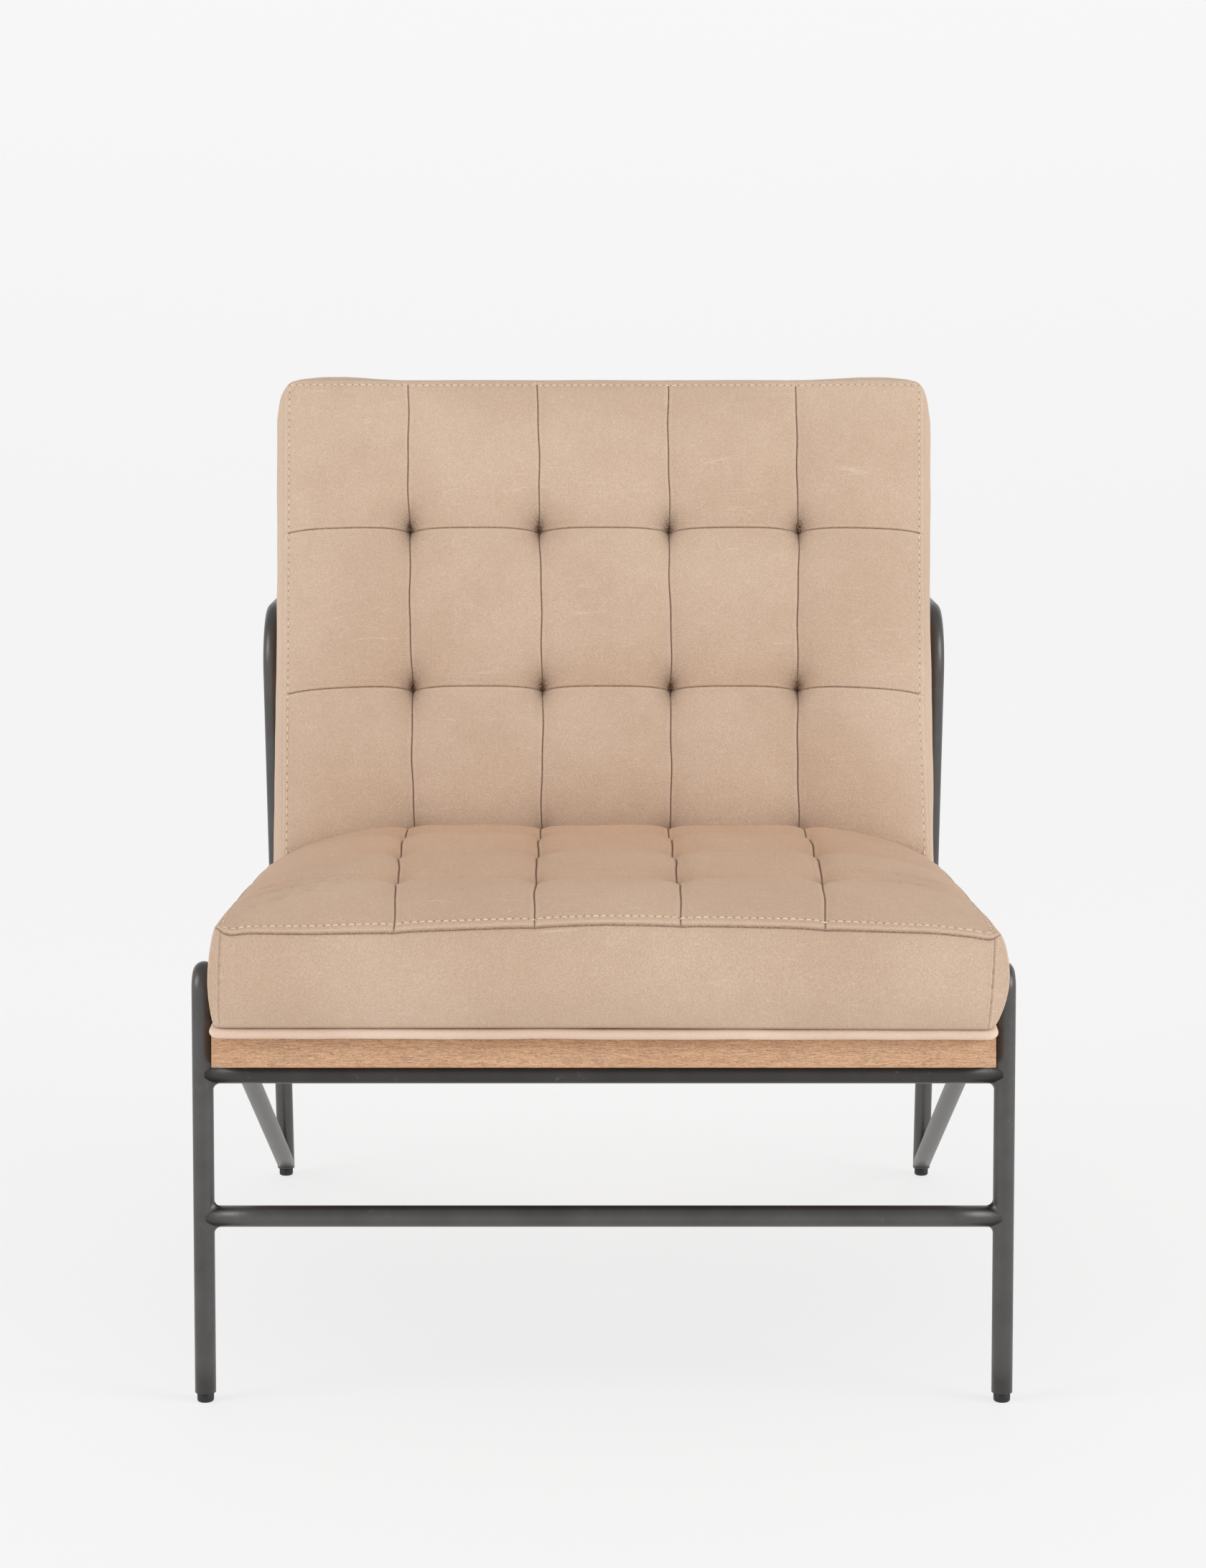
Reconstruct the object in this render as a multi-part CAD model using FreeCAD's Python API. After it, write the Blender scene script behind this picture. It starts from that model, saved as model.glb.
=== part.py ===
"""Armless accent chair: tufted leather seat and back on timber bases, in a welded frame of round tube.

Millimetres. X runs across the chair, Y from its front to its back and Z up from the floor; the front
faces -Y. The origin is on the floor, under the middle of the chair. Until the last step the parts are placed
from the front legs' axis instead, which is where the frame's own sizes are measured from.
"""

import FreeCAD, Part
import math
import os

from FreeCAD import Placement, Rotation, Vector

# Steel tube frame
tube_d = 17.5
tube_wall = 1.6
leg_spacing = 663.0
front_corner_z = 367.0
front_bend_r = 12.0
front_bend_steps = 3
brace_run = 735.0
leg_bottom_z = 8.0
rear_lean = 12.0
top_corner_z = 598.0
top_bend_r = 48.0
top_bend_steps = 4
top_tail = 24.0
front_rail_z = 277.3
stretcher_z = 156.6
weld_gap = 0.1

# Plug glides in the tube ends on the floor, and flush plugs in the two upper tube ends
glide_d = 14.0
glide_stem = 16.0
plug_l = 14.0

# Flat steel bars under the seat, welded between the front and the rear rail
bearer_w = 30.0
bearer_t = 5.0
bearer_leg_inset = 46.5
bearer_inset = 4.0
bearer_screw_inset = 20.5

# Timber seat base, tilted down to the rear, lying on the rails and the bars
seat_tilt = 4.0
leg_gap = 1.75
base_h = 28.0
base_front = 30.5
base_setback = 135.0
timber_w = 60.0
timber_edge = 1.5
tenon_t = 10.0
tenon_l = 25.0
tenon_shoulder = 12.0
block_side = 46.0
block_h = 18.0
joint_gap = 0.1
cloth_t = 0.8
cloth_gap = 0.3

# Make-up that the seat and the back share: leather over foam, on a board with a welt round its edge
leather_t = 1.6
foam_gap = 0.3
wadding_h = 12.0
board_t = 12.0
board_inset = 7.2
board_corner = 8.0
welt_d = 8.5
welt_gap = 0.15
boxing_h = 83.0
foot_inset = 2.6
seam_inset = 4.5

# Seat cushion: lengths run from the front legs' axis along the tilted base, towards the rear
seat_front_seam = 54.0
seat_front_bulge = 9.0
seat_board_front = 34.6
seat_row_1 = 74.0
seat_row_setback = 91.0
seat_foot_setback = 14.0
seat_side_bulge = 5.8
seat_col_inset_front = 140.5
seat_col_inset_rear = 132.5
seat_inner_col_shares = (0.341, 0.332)
seat_crown = 34.0
seat_crown_shares = (0.0, 0.40, 0.65, 0.80, 0.91, 0.97, 1.0, 0.92, 0.45)

# Back cushion: lengths run up its slope from the seat base
recline = 14.0
back_setback = 312.0
back_row_1 = 118.0
back_row_2 = 265.5
back_row_3 = 412.5
back_top_seam = 566.0
back_top_bulge = 6.0
back_board_top = 553.0
back_side_bulge = 6.0
back_col_inset_foot = 132.0
back_col_inset_top = 125.0
back_inner_col_shares = (0.333, 0.333)
back_crown = 13.0
back_crown_shares = (0.0, 0.3, 0.8, 1.0, 1.0, 1.0, 0.95, 0.7, 0.0)

# Tufting of both cushions: heights of the puffs, channels, creases and tufts from the crowned surface
strips_per_row = 6
puff = 9.0
channel = 6.0
crease = 1.0
tuft_pit = 12.0
edge_scallop = 1.6
outer_crown_share = 0.80
outer_col_crown_share = 0.98

# Timber frame and panel behind the back cushion
back_frame_inset = 8.0
back_frame_top = 548.0
panel_t = 6.0
panel_rebate = 10.0
panel_gap = 0.3
rest_gap = 0.3

# Tapes that hold the tufts down, through slits in foam and board, each with a toggle behind the board
tape_w = 8.0
tape_t = 1.2
slit_gap = 0.4
toggle_l = 30.0
toggle_w = 10.0
toggle_t = 3.0

# Steel brackets, and the screws through them and the bars
angle_t = 3.0
angle_w = 28.0
angle_leg = 40.0
angle_inset = 106.0
plate_w = 44.0
plate_h = 80.0
plate_t = 4.0
plate_leg_inset = 48.5
web_t = 5.0
web_h = 34.0
screw_d = 6.0
screw_hole_d = 6.6
screw_head_w = 10.0
screw_head_h = 4.0
screw_l = 22.0
screw_sides = 8
screw_edge = 14.0
screw_gap = 0.15

# How far a cutting body runs past what it cuts
overrun = 40.0

# Worked out from the sizes above
X_WAY = Vector(1, 0, 0)
Y_WAY = Vector(0, 1, 0)
Z_WAY = Vector(0, 0, 1)
tube_r = tube_d / 2
bore_r = tube_r - tube_wall
leg_x = leg_spacing / 2
base_w = leg_spacing - tube_d - 2 * leg_gap
bearer_x = leg_x - bearer_leg_inset
plate_x = leg_x - plate_leg_inset
angle_x = base_w / 2 - angle_inset
board_half = base_w / 2 - board_inset
foot_half = base_w / 2 - foot_inset
seam_half = base_w / 2 - seam_inset
seat_bulge_half = seam_half + seat_side_bulge
back_bulge_half = seam_half + back_side_bulge
back_frame_half = base_w / 2 - back_frame_inset
base_rear = brace_run - base_setback
back_foot = brace_run - back_setback
seat_row_3 = back_foot - seat_row_setback
seat_row_2 = (seat_row_1 + seat_row_3) / 2
seat_rear_foot = back_foot - seat_foot_setback
seat_outer_cols = (seam_half - seat_col_inset_front, seam_half - seat_col_inset_rear)
seat_inner_cols = tuple(a * share for a, share in zip(seat_outer_cols, seat_inner_col_shares))
back_outer_cols = (seam_half - back_col_inset_foot, seam_half - back_col_inset_top)
back_inner_cols = tuple(a * share for a, share in zip(back_outer_cols, back_inner_col_shares))
lean_slope = math.tan(math.radians(rear_lean))
rear_axis_floor = brace_run + leg_bottom_z * lean_slope
welt_r = welt_d / 2
welt_out = welt_r + welt_gap
foot_h = base_h + welt_d + welt_gap
seam_h = base_h + welt_d + boxing_h
board_top_h = base_h + board_t
cushion_lean = recline - seat_tilt
lean_tan = math.tan(math.radians(cushion_lean))
seat_turn = Rotation(X_WAY, -seat_tilt)
seat_place = Placement(Vector(0, 0, front_rail_z) + seat_turn.multVec(Z_WAY * tube_r), seat_turn)
back_turn = Rotation(X_WAY, 90 - recline)
back_origin = seat_place.multVec(Vector(0, back_foot, base_h)) - back_turn.multVec(Z_WAY * seam_h)
back_place = Placement(back_origin, back_turn)


def rear_leg_y(z):
    """Where the rear legs' axis is at height z."""
    return rear_axis_floor - z * lean_slope


def base_top_at(height):
    """How far up the back's slope the top of the seat base lies, at a height above the back's rear face."""
    return (seam_h - height) * lean_tan


top_corner_y = rear_leg_y(top_corner_z)
top_bend_end_y = top_corner_y + top_bend_r * math.tan(math.radians(90 + rear_lean) / 2)
top_end_y = top_bend_end_y + top_tail
back_rail_y = top_bend_end_y + tube_r
rear_rail_length = (rear_axis_floor - front_rail_z * lean_slope) / (
    math.cos(math.radians(seat_tilt)) - math.sin(math.radians(seat_tilt)) * lean_slope
)
rear_rail_centre = seat_place.multVec(Vector(0, rear_rail_length, -tube_r))
back_rail_local = back_place.inverse().multVec(Vector(0, back_rail_y, top_corner_z))


def one_solid(shape):
    """The single solid that a shape holds."""
    if len(shape.Solids) != 1:
        raise ValueError(f"{len(shape.Solids)} solids where one was meant")
    return shape.Solids[0]


def joined(pieces):
    """One solid made of pieces that overlap or share a face."""
    return one_solid(pieces[0].fuse(pieces[1:]))


def group(pieces):
    """Separate solids kept together."""
    return Part.makeCompound(pieces)


def mirrored(shape):
    """The same shape on the other side of the chair."""
    return shape.mirror(Vector(0, 0, 0), X_WAY)


def both_sides(pieces):
    return list(pieces) + [mirrored(piece) for piece in pieces]


def box_between(low, high):
    """A box given by its lowest and its highest corner."""
    size = high - low
    return Part.makeBox(size.x, size.y, size.z, low)


def circle(centre, way, radius):
    """A circle as a closed wire."""
    return Part.Wire(Part.makeCircle(radius, centre, way))


def rod(start, end, radius):
    """A round bar between two points."""
    return Part.makeCylinder(radius, (end - start).Length, start, end - start)


def sided_rod(start, end, flat_r, sides):
    """A bar with flat sides, which small screws have instead of round ones to save facets."""
    way = end - start
    turn = Rotation(Z_WAY, way)
    corner_r = flat_r / math.cos(math.pi / sides)
    corners = []
    for i in range(sides + 1):
        angle = math.tau * i / sides
        corners.append(start + turn.multVec(Vector(math.cos(angle), math.sin(angle), 0) * corner_r))
    return Part.Face(Part.makePolygon(corners)).extrude(way)


def placed(shape, place):
    """A copy of a shape of the seat's or the back's own frame, put in its place on the chair."""
    copy = shape.copy()
    copy.Placement = place.multiply(copy.Placement)
    return copy


def bent_rod(corners, bend_r, steps, radius):
    """A round bar of straight runs and bends, each bend a few short steps between circles."""
    circles = [circle(corners[0], corners[1] - corners[0], radius)]
    for before, corner, after in zip(corners, corners[1:], corners[2:]):
        way_in = (corner - before).normalize()
        way_out = (after - corner).normalize()
        turn = math.degrees(way_in.getAngle(way_out))
        axis = way_in.cross(way_out)
        start = corner - way_in * (bend_r * math.tan(math.radians(turn) / 2))
        inward = Rotation(axis, 90).multVec(way_in)
        hub = start + inward * bend_r
        for step in range(steps + 1):
            swing = Rotation(axis, turn * step / steps)
            circles.append(circle(hub - swing.multVec(inward) * bend_r, swing.multVec(way_in), radius))
    circles.append(circle(corners[-1], corners[-1] - corners[-2], radius))
    return one_solid(Part.makeLoft(circles, True, True))


def bent_tube(corners, bend_r, steps):
    """The same as a length of the frame's tube, with its bore."""
    return bent_rod(corners, bend_r, steps, tube_r).cut(bent_rod(corners, bend_r, steps, bore_r))


def front_leg():
    """Front leg and sloping brace in one bent tube, coped on the rear leg and cut level above the floor."""
    corner = Vector(leg_x, 0, front_corner_z)
    brace_end = Vector(leg_x, brace_run, leg_bottom_z)
    past_end = brace_end + (brace_end - corner).normalize() * tube_d
    tube = bent_tube([Vector(leg_x, 0, leg_bottom_z), corner, past_end], front_bend_r, front_bend_steps)
    low = Vector(leg_x, rear_leg_y(-overrun), -overrun)
    high = Vector(leg_x, rear_leg_y(front_corner_z), front_corner_z)
    tube = tube.cut(rod(low, high, tube_r + weld_gap))
    above_floor = box_between(
        Vector(leg_x - tube_d, -tube_d, leg_bottom_z),
        Vector(leg_x + tube_d, brace_run, front_corner_z + tube_d),
    )
    return max(tube.common(above_floor).Solids, key=lambda piece: piece.Volume)


def rear_leg():
    """Rear leg, leaning forward as it rises, with its top bent back to carry the rail behind the cushion."""
    low = Vector(leg_x, rear_leg_y(-tube_d), -tube_d)
    corner = Vector(leg_x, top_corner_y, top_corner_z)
    end = Vector(leg_x, top_end_y, top_corner_z)
    tube = bent_tube([low, corner, end], top_bend_r, top_bend_steps)
    above_floor = box_between(
        Vector(leg_x - tube_d, 0, leg_bottom_z),
        Vector(leg_x + tube_d, brace_run + overrun, top_corner_z + tube_d),
    )
    return one_solid(tube.common(above_floor))


def cross_tube(centre, leg_way):
    """A tube welded between the two sides, coped on tubes that run the given way."""
    half = X_WAY * leg_x
    leg = rod(half - Z_WAY * overrun, half + Z_WAY * overrun, tube_r + weld_gap)
    tube = rod(-half, half, tube_r).cut([leg, mirrored(leg), rod(-half, half, bore_r)])
    return placed(one_solid(tube), Placement(centre, Rotation(Z_WAY, leg_way)))


def glide(y, stem_way):
    """A plug glide up a leg's bore, cut level on the floor."""
    foot = Vector(leg_x, y, leg_bottom_z)
    plug = rod(foot - stem_way * tube_d, foot + stem_way * glide_stem, glide_d / 2)
    reach = tube_d + glide_stem
    above = box_between(Vector(0, y - reach, 0), Vector(leg_spacing, y + reach, leg_bottom_z + reach))
    return one_solid(plug.common(above))


def top_plug():
    """A plug that closes the open upper end of a rear leg, flush with it."""
    end = Vector(leg_x, top_end_y, top_corner_z)
    return rod(end - Y_WAY * plug_l, end, glide_d / 2)


def screw(head, way):
    """A coach screw whose six-sided head seats at the given point, driven the given way."""
    cap = sided_rod(head - way * screw_head_h, head, screw_head_w / 2, 6)
    return joined([cap, sided_rod(head, head + way * screw_l, screw_d / 2, screw_sides)])


def screw_hole(head, way):
    """The room that such a screw takes in the timber."""
    return sided_rod(head, head + way * (screw_l + screw_gap), screw_d / 2 + screw_gap, screw_sides)


def screw_clearance(head, way, thickness):
    """The hole for it in a steel bar or plate of this thickness."""
    return sided_rod(head - way * thickness, head + way * thickness * 2, screw_hole_d / 2, screw_sides)


def base_screws():
    """Heads and ways of the screws up through the bars, in the seat's frame, on the right side."""
    lengths = (timber_w - base_front + bearer_screw_inset, base_rear - timber_w / 2)
    return [(Vector(bearer_x, length, -bearer_t), Z_WAY) for length in lengths]


def plate_screws():
    """The same for the plates on the back frame's rear face, in the back's frame."""
    reach = plate_h / 2 - screw_edge
    centre = Vector(plate_x, back_rail_local.y, -plate_t)
    return [(centre + Y_WAY * step, Z_WAY) for step in (-reach, reach)]


def angle_base_screws():
    """Screw of one angle bracket down into the seat base, in the seat's frame."""
    length = rear_face_length + angle_leg - screw_edge
    return [(Vector(angle_x, length, base_h + angle_t), -Z_WAY)]


def angle_back_screws():
    """Its screw forward into the back frame, in the back's frame."""
    length = base_top_at(0) + angle_leg - screw_edge
    return [(Vector(angle_x, length, -angle_t), Z_WAY)]


rear_face_length = back_foot + seam_h / math.cos(math.radians(cushion_lean))


def bearer():
    """A flat bar under the seat base, its ends coped on the rails, with holes for the base screws."""
    bar = box_between(
        Vector(bearer_x - bearer_w / 2, bearer_inset, -bearer_t),
        Vector(bearer_x + bearer_w / 2, rear_rail_length - bearer_inset, 0),
    )
    tools = []
    for length in (0, rear_rail_length):
        start = Vector(0, length, -tube_r)
        tools.append(rod(start, start + X_WAY * leg_x, tube_r + weld_gap))
    tools += [screw_clearance(head, way, bearer_t) for head, way in base_screws()]
    return one_solid(bar.cut(tools))


def timber(low, high):
    """A planed board with the edges along its length eased."""
    board = box_between(low, high)
    size = high - low
    length = max(size.x, size.y)
    long_edges = [edge for edge in board.Edges if abs(edge.Length - length) < timber_edge]
    return board.makeChamfer(timber_edge, long_edges)


def base_frame():
    """The seat base's timbers: front and rear ones right across it, and sides tenoned in between them."""
    half = base_w / 2
    front_in = timber_w - base_front
    rear_in = base_rear - timber_w
    front = timber(Vector(-half, -base_front, 0), Vector(half, front_in, base_h))
    rear = timber(Vector(-half, rear_in, 0), Vector(half, base_rear, base_h))
    side = timber(Vector(half - timber_w, front_in, 0), Vector(half, rear_in, base_h))
    low = Vector(half - timber_w + tenon_shoulder, front_in - tenon_l, (base_h - tenon_t) / 2)
    high = Vector(half - tenon_shoulder, rear_in + tenon_l, (base_h + tenon_t) / 2)
    side = joined([side, box_between(low, high)])
    slack = Vector(joint_gap, joint_gap, joint_gap)
    rooms = [box_between(low - slack, high + slack)]
    screws = [screw_hole(head, way) for head, way in base_screws() + angle_base_screws()]
    timbers = {
        "base_front_board": one_solid(front.cut(both_sides(rooms + screws))),
        "base_rear_board": one_solid(rear.cut(both_sides(rooms + screws))),
        "base_side_right": one_solid(side.cut(screws)),
    }
    timbers["base_side_left"] = mirrored(timbers["base_side_right"])
    return timbers


def corner_blocks():
    """Three-cornered blocks glued inside the corners of the seat base."""
    blocks = []
    inner = base_w / 2 - timber_w - joint_gap
    low = (base_h - block_h) / 2
    for corner, way in ((timber_w - base_front, 1), (base_rear - timber_w, -1)):
        start = corner + way * joint_gap
        points = [
            Vector(inner, start, low),
            Vector(inner - block_side, start, low),
            Vector(inner, start + way * block_side, low),
            Vector(inner, start, low),
        ]
        blocks.append(Part.Face(Part.makePolygon(points)).extrude(Z_WAY * block_h))
    return both_sides(blocks)


def dust_cloth():
    """Thin cloth that closes the seat base from below, inside its timbers."""
    half = base_w / 2 - timber_w - cloth_gap
    return box_between(
        Vector(-half, timber_w - base_front + cloth_gap, 0),
        Vector(half, base_rear - timber_w - cloth_gap, cloth_t),
    )


def plywood(front, rear, low_h, high_h):
    """A plywood board with its corners cut off."""
    board = box_between(Vector(-board_half, front, low_h), Vector(board_half, rear, high_h))
    upright = [edge for edge in board.Edges if abs(edge.Length - (high_h - low_h)) < joint_gap]
    return board.makeChamfer(board_corner, upright)


def through(start, middle, end, share):
    """A smooth run through three values, at a share of the way from the first to the last."""
    rest = 1 - share
    return start * rest * (1 - 2 * share) + middle * 4 * share * rest + end * share * (2 * share - 1)


class Cushion:
    """A tufted cushion in a frame of its own: X across, Y along its rows and Z out of its face."""

    def __init__(self, rows, columns, bulge_half, crown, crown_shares, outline):
        self.rows = rows
        self.columns = columns
        self.bulge_half = bulge_half
        self.crown = crown
        self.crown_shares = crown_shares
        self.outline = outline

    def along(self, ends, length):
        """A size that changes evenly from the first row to the last."""
        share = (length - self.rows[0]) / (self.rows[-1] - self.rows[0])
        return ends[0] + (ends[1] - ends[0]) * share

    def crown_height(self, row, share):
        """How far the surface without its tufting rises over the seams, at a share of the way past a row."""
        return self.crown * through(*self.crown_shares[row * 2 : row * 2 + 3], share)

    def face_arcs(self, row, share):
        """The face across the cushion: five arcs between the two side seams, deepest between the tufts."""
        last = len(self.rows) - 2
        start_top, start_pit = (edge_scallop, 0) if row == 0 else (-crease, -tuft_pit)
        end_top, end_pit = (edge_scallop, 0) if row == last else (-crease, -tuft_pit)
        top = through(start_top, puff, end_top, share)
        pit = through(start_pit, puff - channel, end_pit, share)
        length = self.rows[row] + (self.rows[row + 1] - self.rows[row]) * share
        crown = self.crown_height(row, share)
        inner = self.along(self.columns[0], length)
        outer = self.along(self.columns[1], length)
        right = [
            Vector(inner, length, seam_h + crown + pit),
            Vector((inner + outer) / 2, length, seam_h + crown + top),
            Vector(outer, length, seam_h + crown * outer_col_crown_share + pit),
            Vector((outer + seam_half) / 2, length, seam_h + crown * outer_crown_share + top),
            Vector(seam_half, length, seam_h),
        ]
        left = [Vector(-point.x, point.y, point.z) for point in right]
        points = right[::-1] + [Vector(0, length, seam_h + crown + top)] + left
        return [Part.Arc(*points[i : i + 3]).toShape() for i in range(0, len(points) - 2, 2)]

    def face_section(self, row, share, shift=0):
        """The face's arcs closed by straight sides and a flat underside, in the wadding."""
        arcs = self.face_arcs(row, share)
        length = arcs[0].Vertexes[0].Y
        right = Vector(seam_half, length, seam_h)
        left = Vector(-seam_half, length, seam_h)
        down = Vector(0, 0, wadding_h)
        wire = Part.Wire(arcs + polyline([left, left - down, right - down, right]))
        wire.translate(Y_WAY * shift)
        return wire

    def face(self):
        """The tufted face and its wadding, with plain ends that run past the first and the last row."""
        last = len(self.rows) - 2
        wires = [self.face_section(0, 0, -overrun)]
        for row in range(last + 1):
            wires += [self.face_section(row, i / strips_per_row) for i in range(strips_per_row)]
        wires += [self.face_section(last, 1), self.face_section(last, 1, overrun)]
        return one_solid(Part.makeLoft(wires, True, True))

    def block(self, inset, low_h, high_h):
        """The cushion's plain form between two heights, a given inset inside the leather's outer face."""
        start = self.rows[0] - overrun
        foot = foot_half - inset
        side = seam_half - inset
        bulge = self.bulge_half - inset
        low = low_h - overrun
        high = high_h + overrun
        points = [(side, seam_h), (side, high), (-side, high), (-side, seam_h)]
        over = [Vector(x, start, h) for x, h in points]
        points = [(-foot, foot_h), (-foot, low), (foot, low), (foot, foot_h)]
        under = [Vector(x, start, h) for x, h in points]
        right = Part.Arc(under[-1], Vector(bulge, start, boxing_mid_h), over[0]).toShape()
        left = Part.Arc(over[-1], Vector(-bulge, start, boxing_mid_h), under[0]).toShape()
        section = Part.Wire([right] + polyline(over) + [left] + polyline(under))
        form = Part.Face(section).extrude(Y_WAY * (self.rows[-1] - start + overrun))
        reach = leg_spacing * 2
        layer = box_between(Vector(-reach, -reach, low_h), Vector(reach, reach, high_h))
        return one_solid(form.common(self.outline(inset)).common(layer))

    def panel(self):
        """The face with its wadding, which fills the top of the boxing just inside the leather."""
        whole = self.face().common(self.outline(0))
        reach = leg_spacing * 2
        low = seam_h - wadding_h - overrun
        rim = box_between(Vector(-reach, -reach, low), Vector(reach, reach, seam_h))
        rim = rim.cut(self.block(leather_t + foam_gap, low - overrun, seam_h + overrun))
        return one_solid(whole.cut(rim))

    def boxing(self):
        """The leather band round the cushion, from the welt to the face's seam."""
        hollow = self.block(leather_t, foot_h - leather_t, seam_h + leather_t)
        return one_solid(self.block(0, foot_h, seam_h).cut(hollow))

    def tufts(self):
        """Where the tufts are, across and along the cushion."""
        places = []
        for length in self.rows[1:-1]:
            for column in self.columns:
                x = self.along(column, length)
                places += [Vector(-x, length, 0), Vector(x, length, 0)]
        return places


def polyline(points):
    """Straight edges from point to point."""
    return [Part.makeLine(a, b) for a, b in zip(points, points[1:])]


def side_view(edges):
    """A closed side view of a cushion, run across the chair to trim the cushion's two ends."""
    half = X_WAY * leg_spacing
    face = Part.Face(Part.Wire(edges))
    face.translate(-half)
    return face.extrude(half * 2)


def end_arc(seam, bulge, foot, foot_low):
    """The side view's bulging end: from high over the seam down through the boxing to under the foot."""
    high = Vector(0, seam, high_h)
    return polyline([high, Vector(0, seam, seam_h)]) + [
        Part.Arc(Vector(0, seam, seam_h), Vector(0, bulge, boxing_mid_h), Vector(0, foot, foot_h)).toShape(),
        Part.makeLine(Vector(0, foot, foot_h), Vector(0, foot, foot_low)),
    ]


def seat_outline(inset):
    """Seat in side view: a bulging front, and a rear that leans like the back."""
    low = -overrun
    rear = seat_rear_foot - inset
    rear_low = Vector(0, rear + (low - foot_h) * lean_tan, low)
    rear_high = Vector(0, rear + (high_h - foot_h) * lean_tan, high_h)
    seam = inset - seat_front_seam
    front = end_arc(seam, seam - seat_front_bulge, inset - seat_front_foot, low)
    closing = [Vector(0, inset - seat_front_foot, low), rear_low, rear_high, Vector(0, seam, high_h)]
    return side_view(front + polyline(closing))


def back_outline(inset):
    """Back in side view: a bulging top, and a foot that stands on the seat base."""
    low = -overrun
    rest = rest_gap + inset
    seam = back_top_seam - inset
    top = end_arc(seam, seam + back_top_bulge, back_top_foot - inset, low)
    foot_low = Vector(0, base_top_at(low) + rest, low)
    foot_high = Vector(0, base_top_at(high_h) + rest, high_h)
    closing = [Vector(0, back_top_foot - inset, low), foot_low, foot_high, Vector(0, seam, high_h)]
    return side_view(top + polyline(closing))


seat_rear_seam = seat_rear_foot + boxing_h * lean_tan
seat_front_foot = seat_board_front + welt_d + welt_gap
back_top_foot = back_board_top + welt_d + welt_gap
high_h = seam_h + seat_crown + puff + overrun
boxing_mid_h = (foot_h + seam_h) / 2
seat_cushion = Cushion(
    (-seat_front_seam, seat_row_1, seat_row_2, seat_row_3, seat_rear_seam),
    (seat_inner_cols, seat_outer_cols),
    seat_bulge_half,
    seat_crown,
    seat_crown_shares,
    seat_outline,
)
back_cushion = Cushion(
    (0, back_row_1, back_row_2, back_row_3, back_top_seam),
    (back_inner_cols, back_outer_cols),
    back_bulge_half,
    back_crown,
    back_crown_shares,
    back_outline,
)


def tuft_bar(place, half_x, half_y, low_h, high):
    """An upright bar under one tuft."""
    return box_between(
        Vector(place.x - half_x, place.y - half_y, low_h), Vector(place.x + half_x, place.y + half_y, high)
    )


def upholstery(name, cushion, board):
    """Cover, foam, board, tapes and toggles of one cushion, as named shapes in the cushion's own frame."""
    foam_top = seam_h - wadding_h
    slits = []
    tapes = []
    toggles = []
    for place in cushion.tufts():
        wide = tape_w / 2
        thin = tape_t / 2
        slits.append(tuft_bar(place, wide + slit_gap, thin + slit_gap, base_h - overrun, foam_top + overrun))
        tapes.append(tuft_bar(place, wide, thin, base_h, foam_top))
        toggles.append(tuft_bar(place, toggle_l / 2, toggle_w / 2, base_h - toggle_t, base_h))
    return {
        name + "_cover_panel": cushion.panel(),
        name + "_cover_boxing": cushion.boxing(),
        name + "_foam": one_solid(cushion.block(leather_t + foam_gap, board_top_h, foam_top).cut(slits)),
        name + "_board": one_solid(board.cut(slits)),
        name + "_tuft_tapes": group(tapes),
        name + "_tuft_toggles": group(toggles),
    }


def cord(corners):
    """A round cord with mitred corners, its ends square."""
    path = Part.makePolygon(corners)
    profile = circle(corners[0], corners[1] - corners[0], welt_r)
    return one_solid(path.makePipeShell([profile], True, False, 1))


def seat_welt():
    """The welt round the foot of the seat cushion, one closed ring."""
    half = board_half + welt_out
    front = -seat_board_front - welt_out
    rear = seat_rear_foot - welt_out
    h = base_h + welt_r
    side = cord([Vector(0, front, h), Vector(half, front, h), Vector(half, rear, h), Vector(0, rear, h)])
    return joined([side, mirrored(side)]).removeSplitter()


def back_welt():
    """The welt up both sides and over the top of the back cushion, its ends cut to stand on the seat base."""
    half = board_half + welt_out
    top = back_board_top + welt_out
    h = base_h + welt_r
    return cord([Vector(half, 0, h), Vector(half, top, h), Vector(-half, top, h), Vector(-half, 0, h)])


def over_base(gap):
    """Everything above the top of the seat base, less a gap, in the back's frame."""
    reach = leg_spacing * 2
    low = Vector(-reach, -reach, base_h + gap)
    room = placed(box_between(low, Vector(reach, reach, reach)), seat_place)
    return placed(room, back_place.inverse())


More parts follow.
